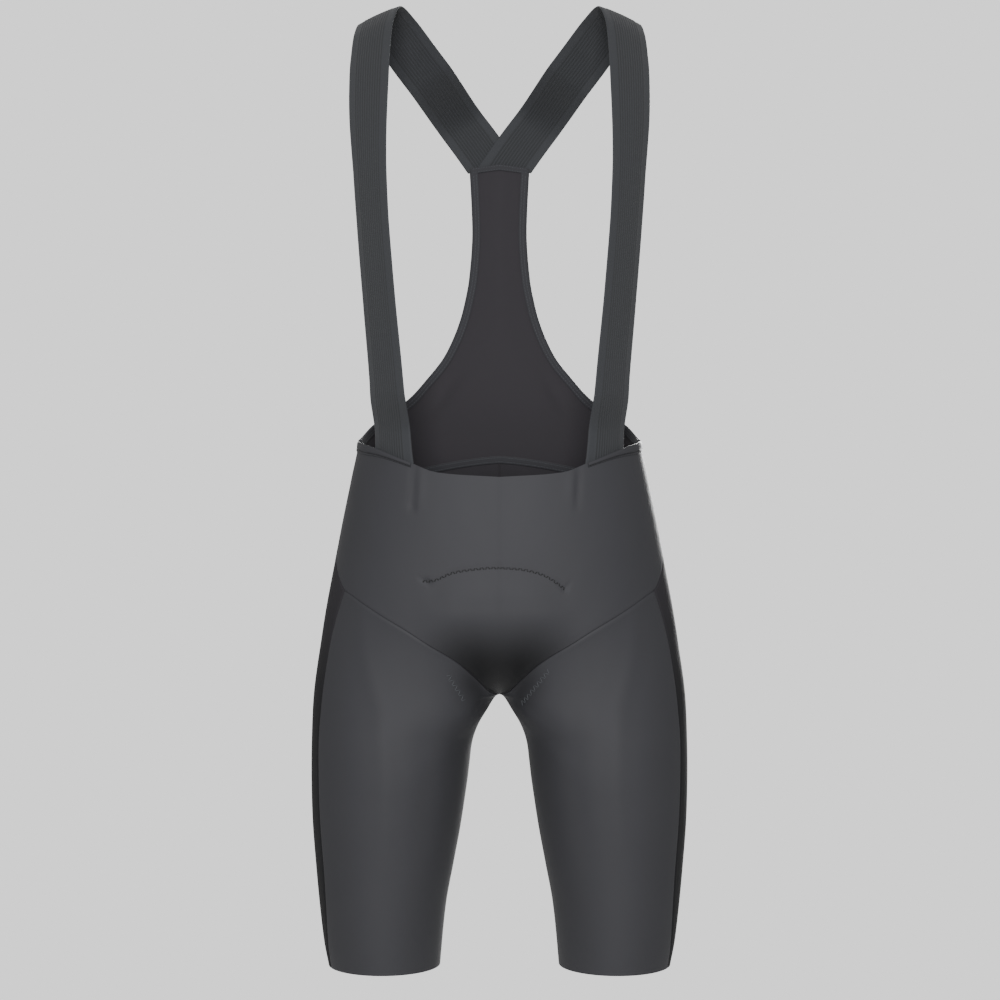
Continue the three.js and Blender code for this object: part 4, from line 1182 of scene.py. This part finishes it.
for side, name in ((1, "left"), (-1, "right")):
    around = np.linspace(0.192, 0.492, 160)
    line = on_body(around, front_top(around) - 0.78 * hem_band_height(around), side, 0.85)
    threads(f"hem_band_stitches_{name}", *line, SHADE_THREAD, length=2.2, pitch=2.7, thick=0.55)
    arc_round = np.linspace(0.0, PAD_ARC_END[side], 120)
    line = on_body(arc_round, pad_arc_height[side](arc_round), side)
    threads(f"pad_arc_stitches_{name}", *line, SHADE_THREAD, length=2.9, pitch=2.7, thick=0.95, slant=0.9)

for name, (side, face, start, end) in PAD_SIDE_LINES.items():
    share = np.linspace(0, 1, 24)
    heights = mix(start[1], end[1], share)
    rounds = np.array([round_at(mix(start[0], end[0], t), h, face > 0) for t, h in zip(share, heights)])
    line = on_body(rounds, heights, side, 0.05)
    threads(f"pad_side_stitches_{name}", *line, DARK_THREAD, length=5.2, pitch=2.9, thick=0.7, slant=1.1)


# Camera, light and floor.

CAMERA_DISTANCE = 2.4
CAMERA_HEIGHT = (440 - SHOULDER_HEIGHT) * MM
FRAME_WIDTH = 0.95
SENSOR = 36.0
AIM_ASIDE = 0.0005


def make_camera():
    camera = bpy.data.cameras.new("photo_view")
    camera.sensor_width = SENSOR
    camera.lens = SENSOR * CAMERA_DISTANCE / FRAME_WIDTH
    holder = bpy.data.objects.new("photo_view", camera)
    holder.location = (AIM_ASIDE, -CAMERA_DISTANCE, CAMERA_HEIGHT)
    holder.rotation_euler = (np.pi / 2, 0, 0)
    bpy.context.scene.collection.objects.link(holder)
    bpy.context.scene.camera = holder


# Where each softbox stands and what it aims at, its width and height in metres, and its power in watts.
SOFTBOXES = {
    "key_softbox": {"place": (-0.05, -2.4, 0.15), "aim": (0, 0, -0.3), "size": (0.9, 1.7), "power_watts": 62},
    "back_softbox": {"place": (0.5, 2.3, 0.1), "aim": (0, 0, -0.4), "size": (1.0, 0.8), "power_watts": 75},
}
SOFTBOX_SPREAD = 80


def make_light(name, place, aim, size, power_watts):
    light = bpy.data.lights.new(name, "AREA")
    light.shape = "RECTANGLE"
    light.size, light.size_y = size
    light.energy = power_watts
    light.spread = np.radians(SOFTBOX_SPREAD)
    holder = bpy.data.objects.new(name, light)
    holder.location = place
    direction = np.array(aim, float) - place
    holder.rotation_euler = Vector(direction).to_track_quat("-Z", "Y").to_euler()
    bpy.context.scene.collection.objects.link(holder)


def make_world(strength):
    world = bpy.data.worlds.new("white_studio")
    world.use_nodes = True
    background = world.node_tree.nodes["Background"]
    background.inputs["Color"].default_value = (1, 1, 1, 1)
    background.inputs["Strength"].default_value = strength
    bpy.context.scene.world = world


FLOOR_DROP = 1.45
FLOOR_RADIUS = 1.5


def make_floor():
    turns = np.linspace(0, 2 * np.pi, 96, endpoint=False)
    rim = [(FLOOR_RADIUS * np.cos(t), FLOOR_RADIUS * np.sin(t), -FLOOR_DROP) for t in turns]
    mesh = bpy.data.meshes.new("studio_floor")
    mesh.from_pydata(rim, [], [list(range(len(rim)))])
    mesh.materials.append(matt_paper("pale_floor_paint", "#f6f6f5"))
    floor = bpy.data.objects.new("studio_floor", mesh)
    bpy.context.scene.collection.objects.link(floor)


make_camera()
make_floor()
make_world(1.3)
for name, softbox in SOFTBOXES.items():
    make_light(name, **softbox)
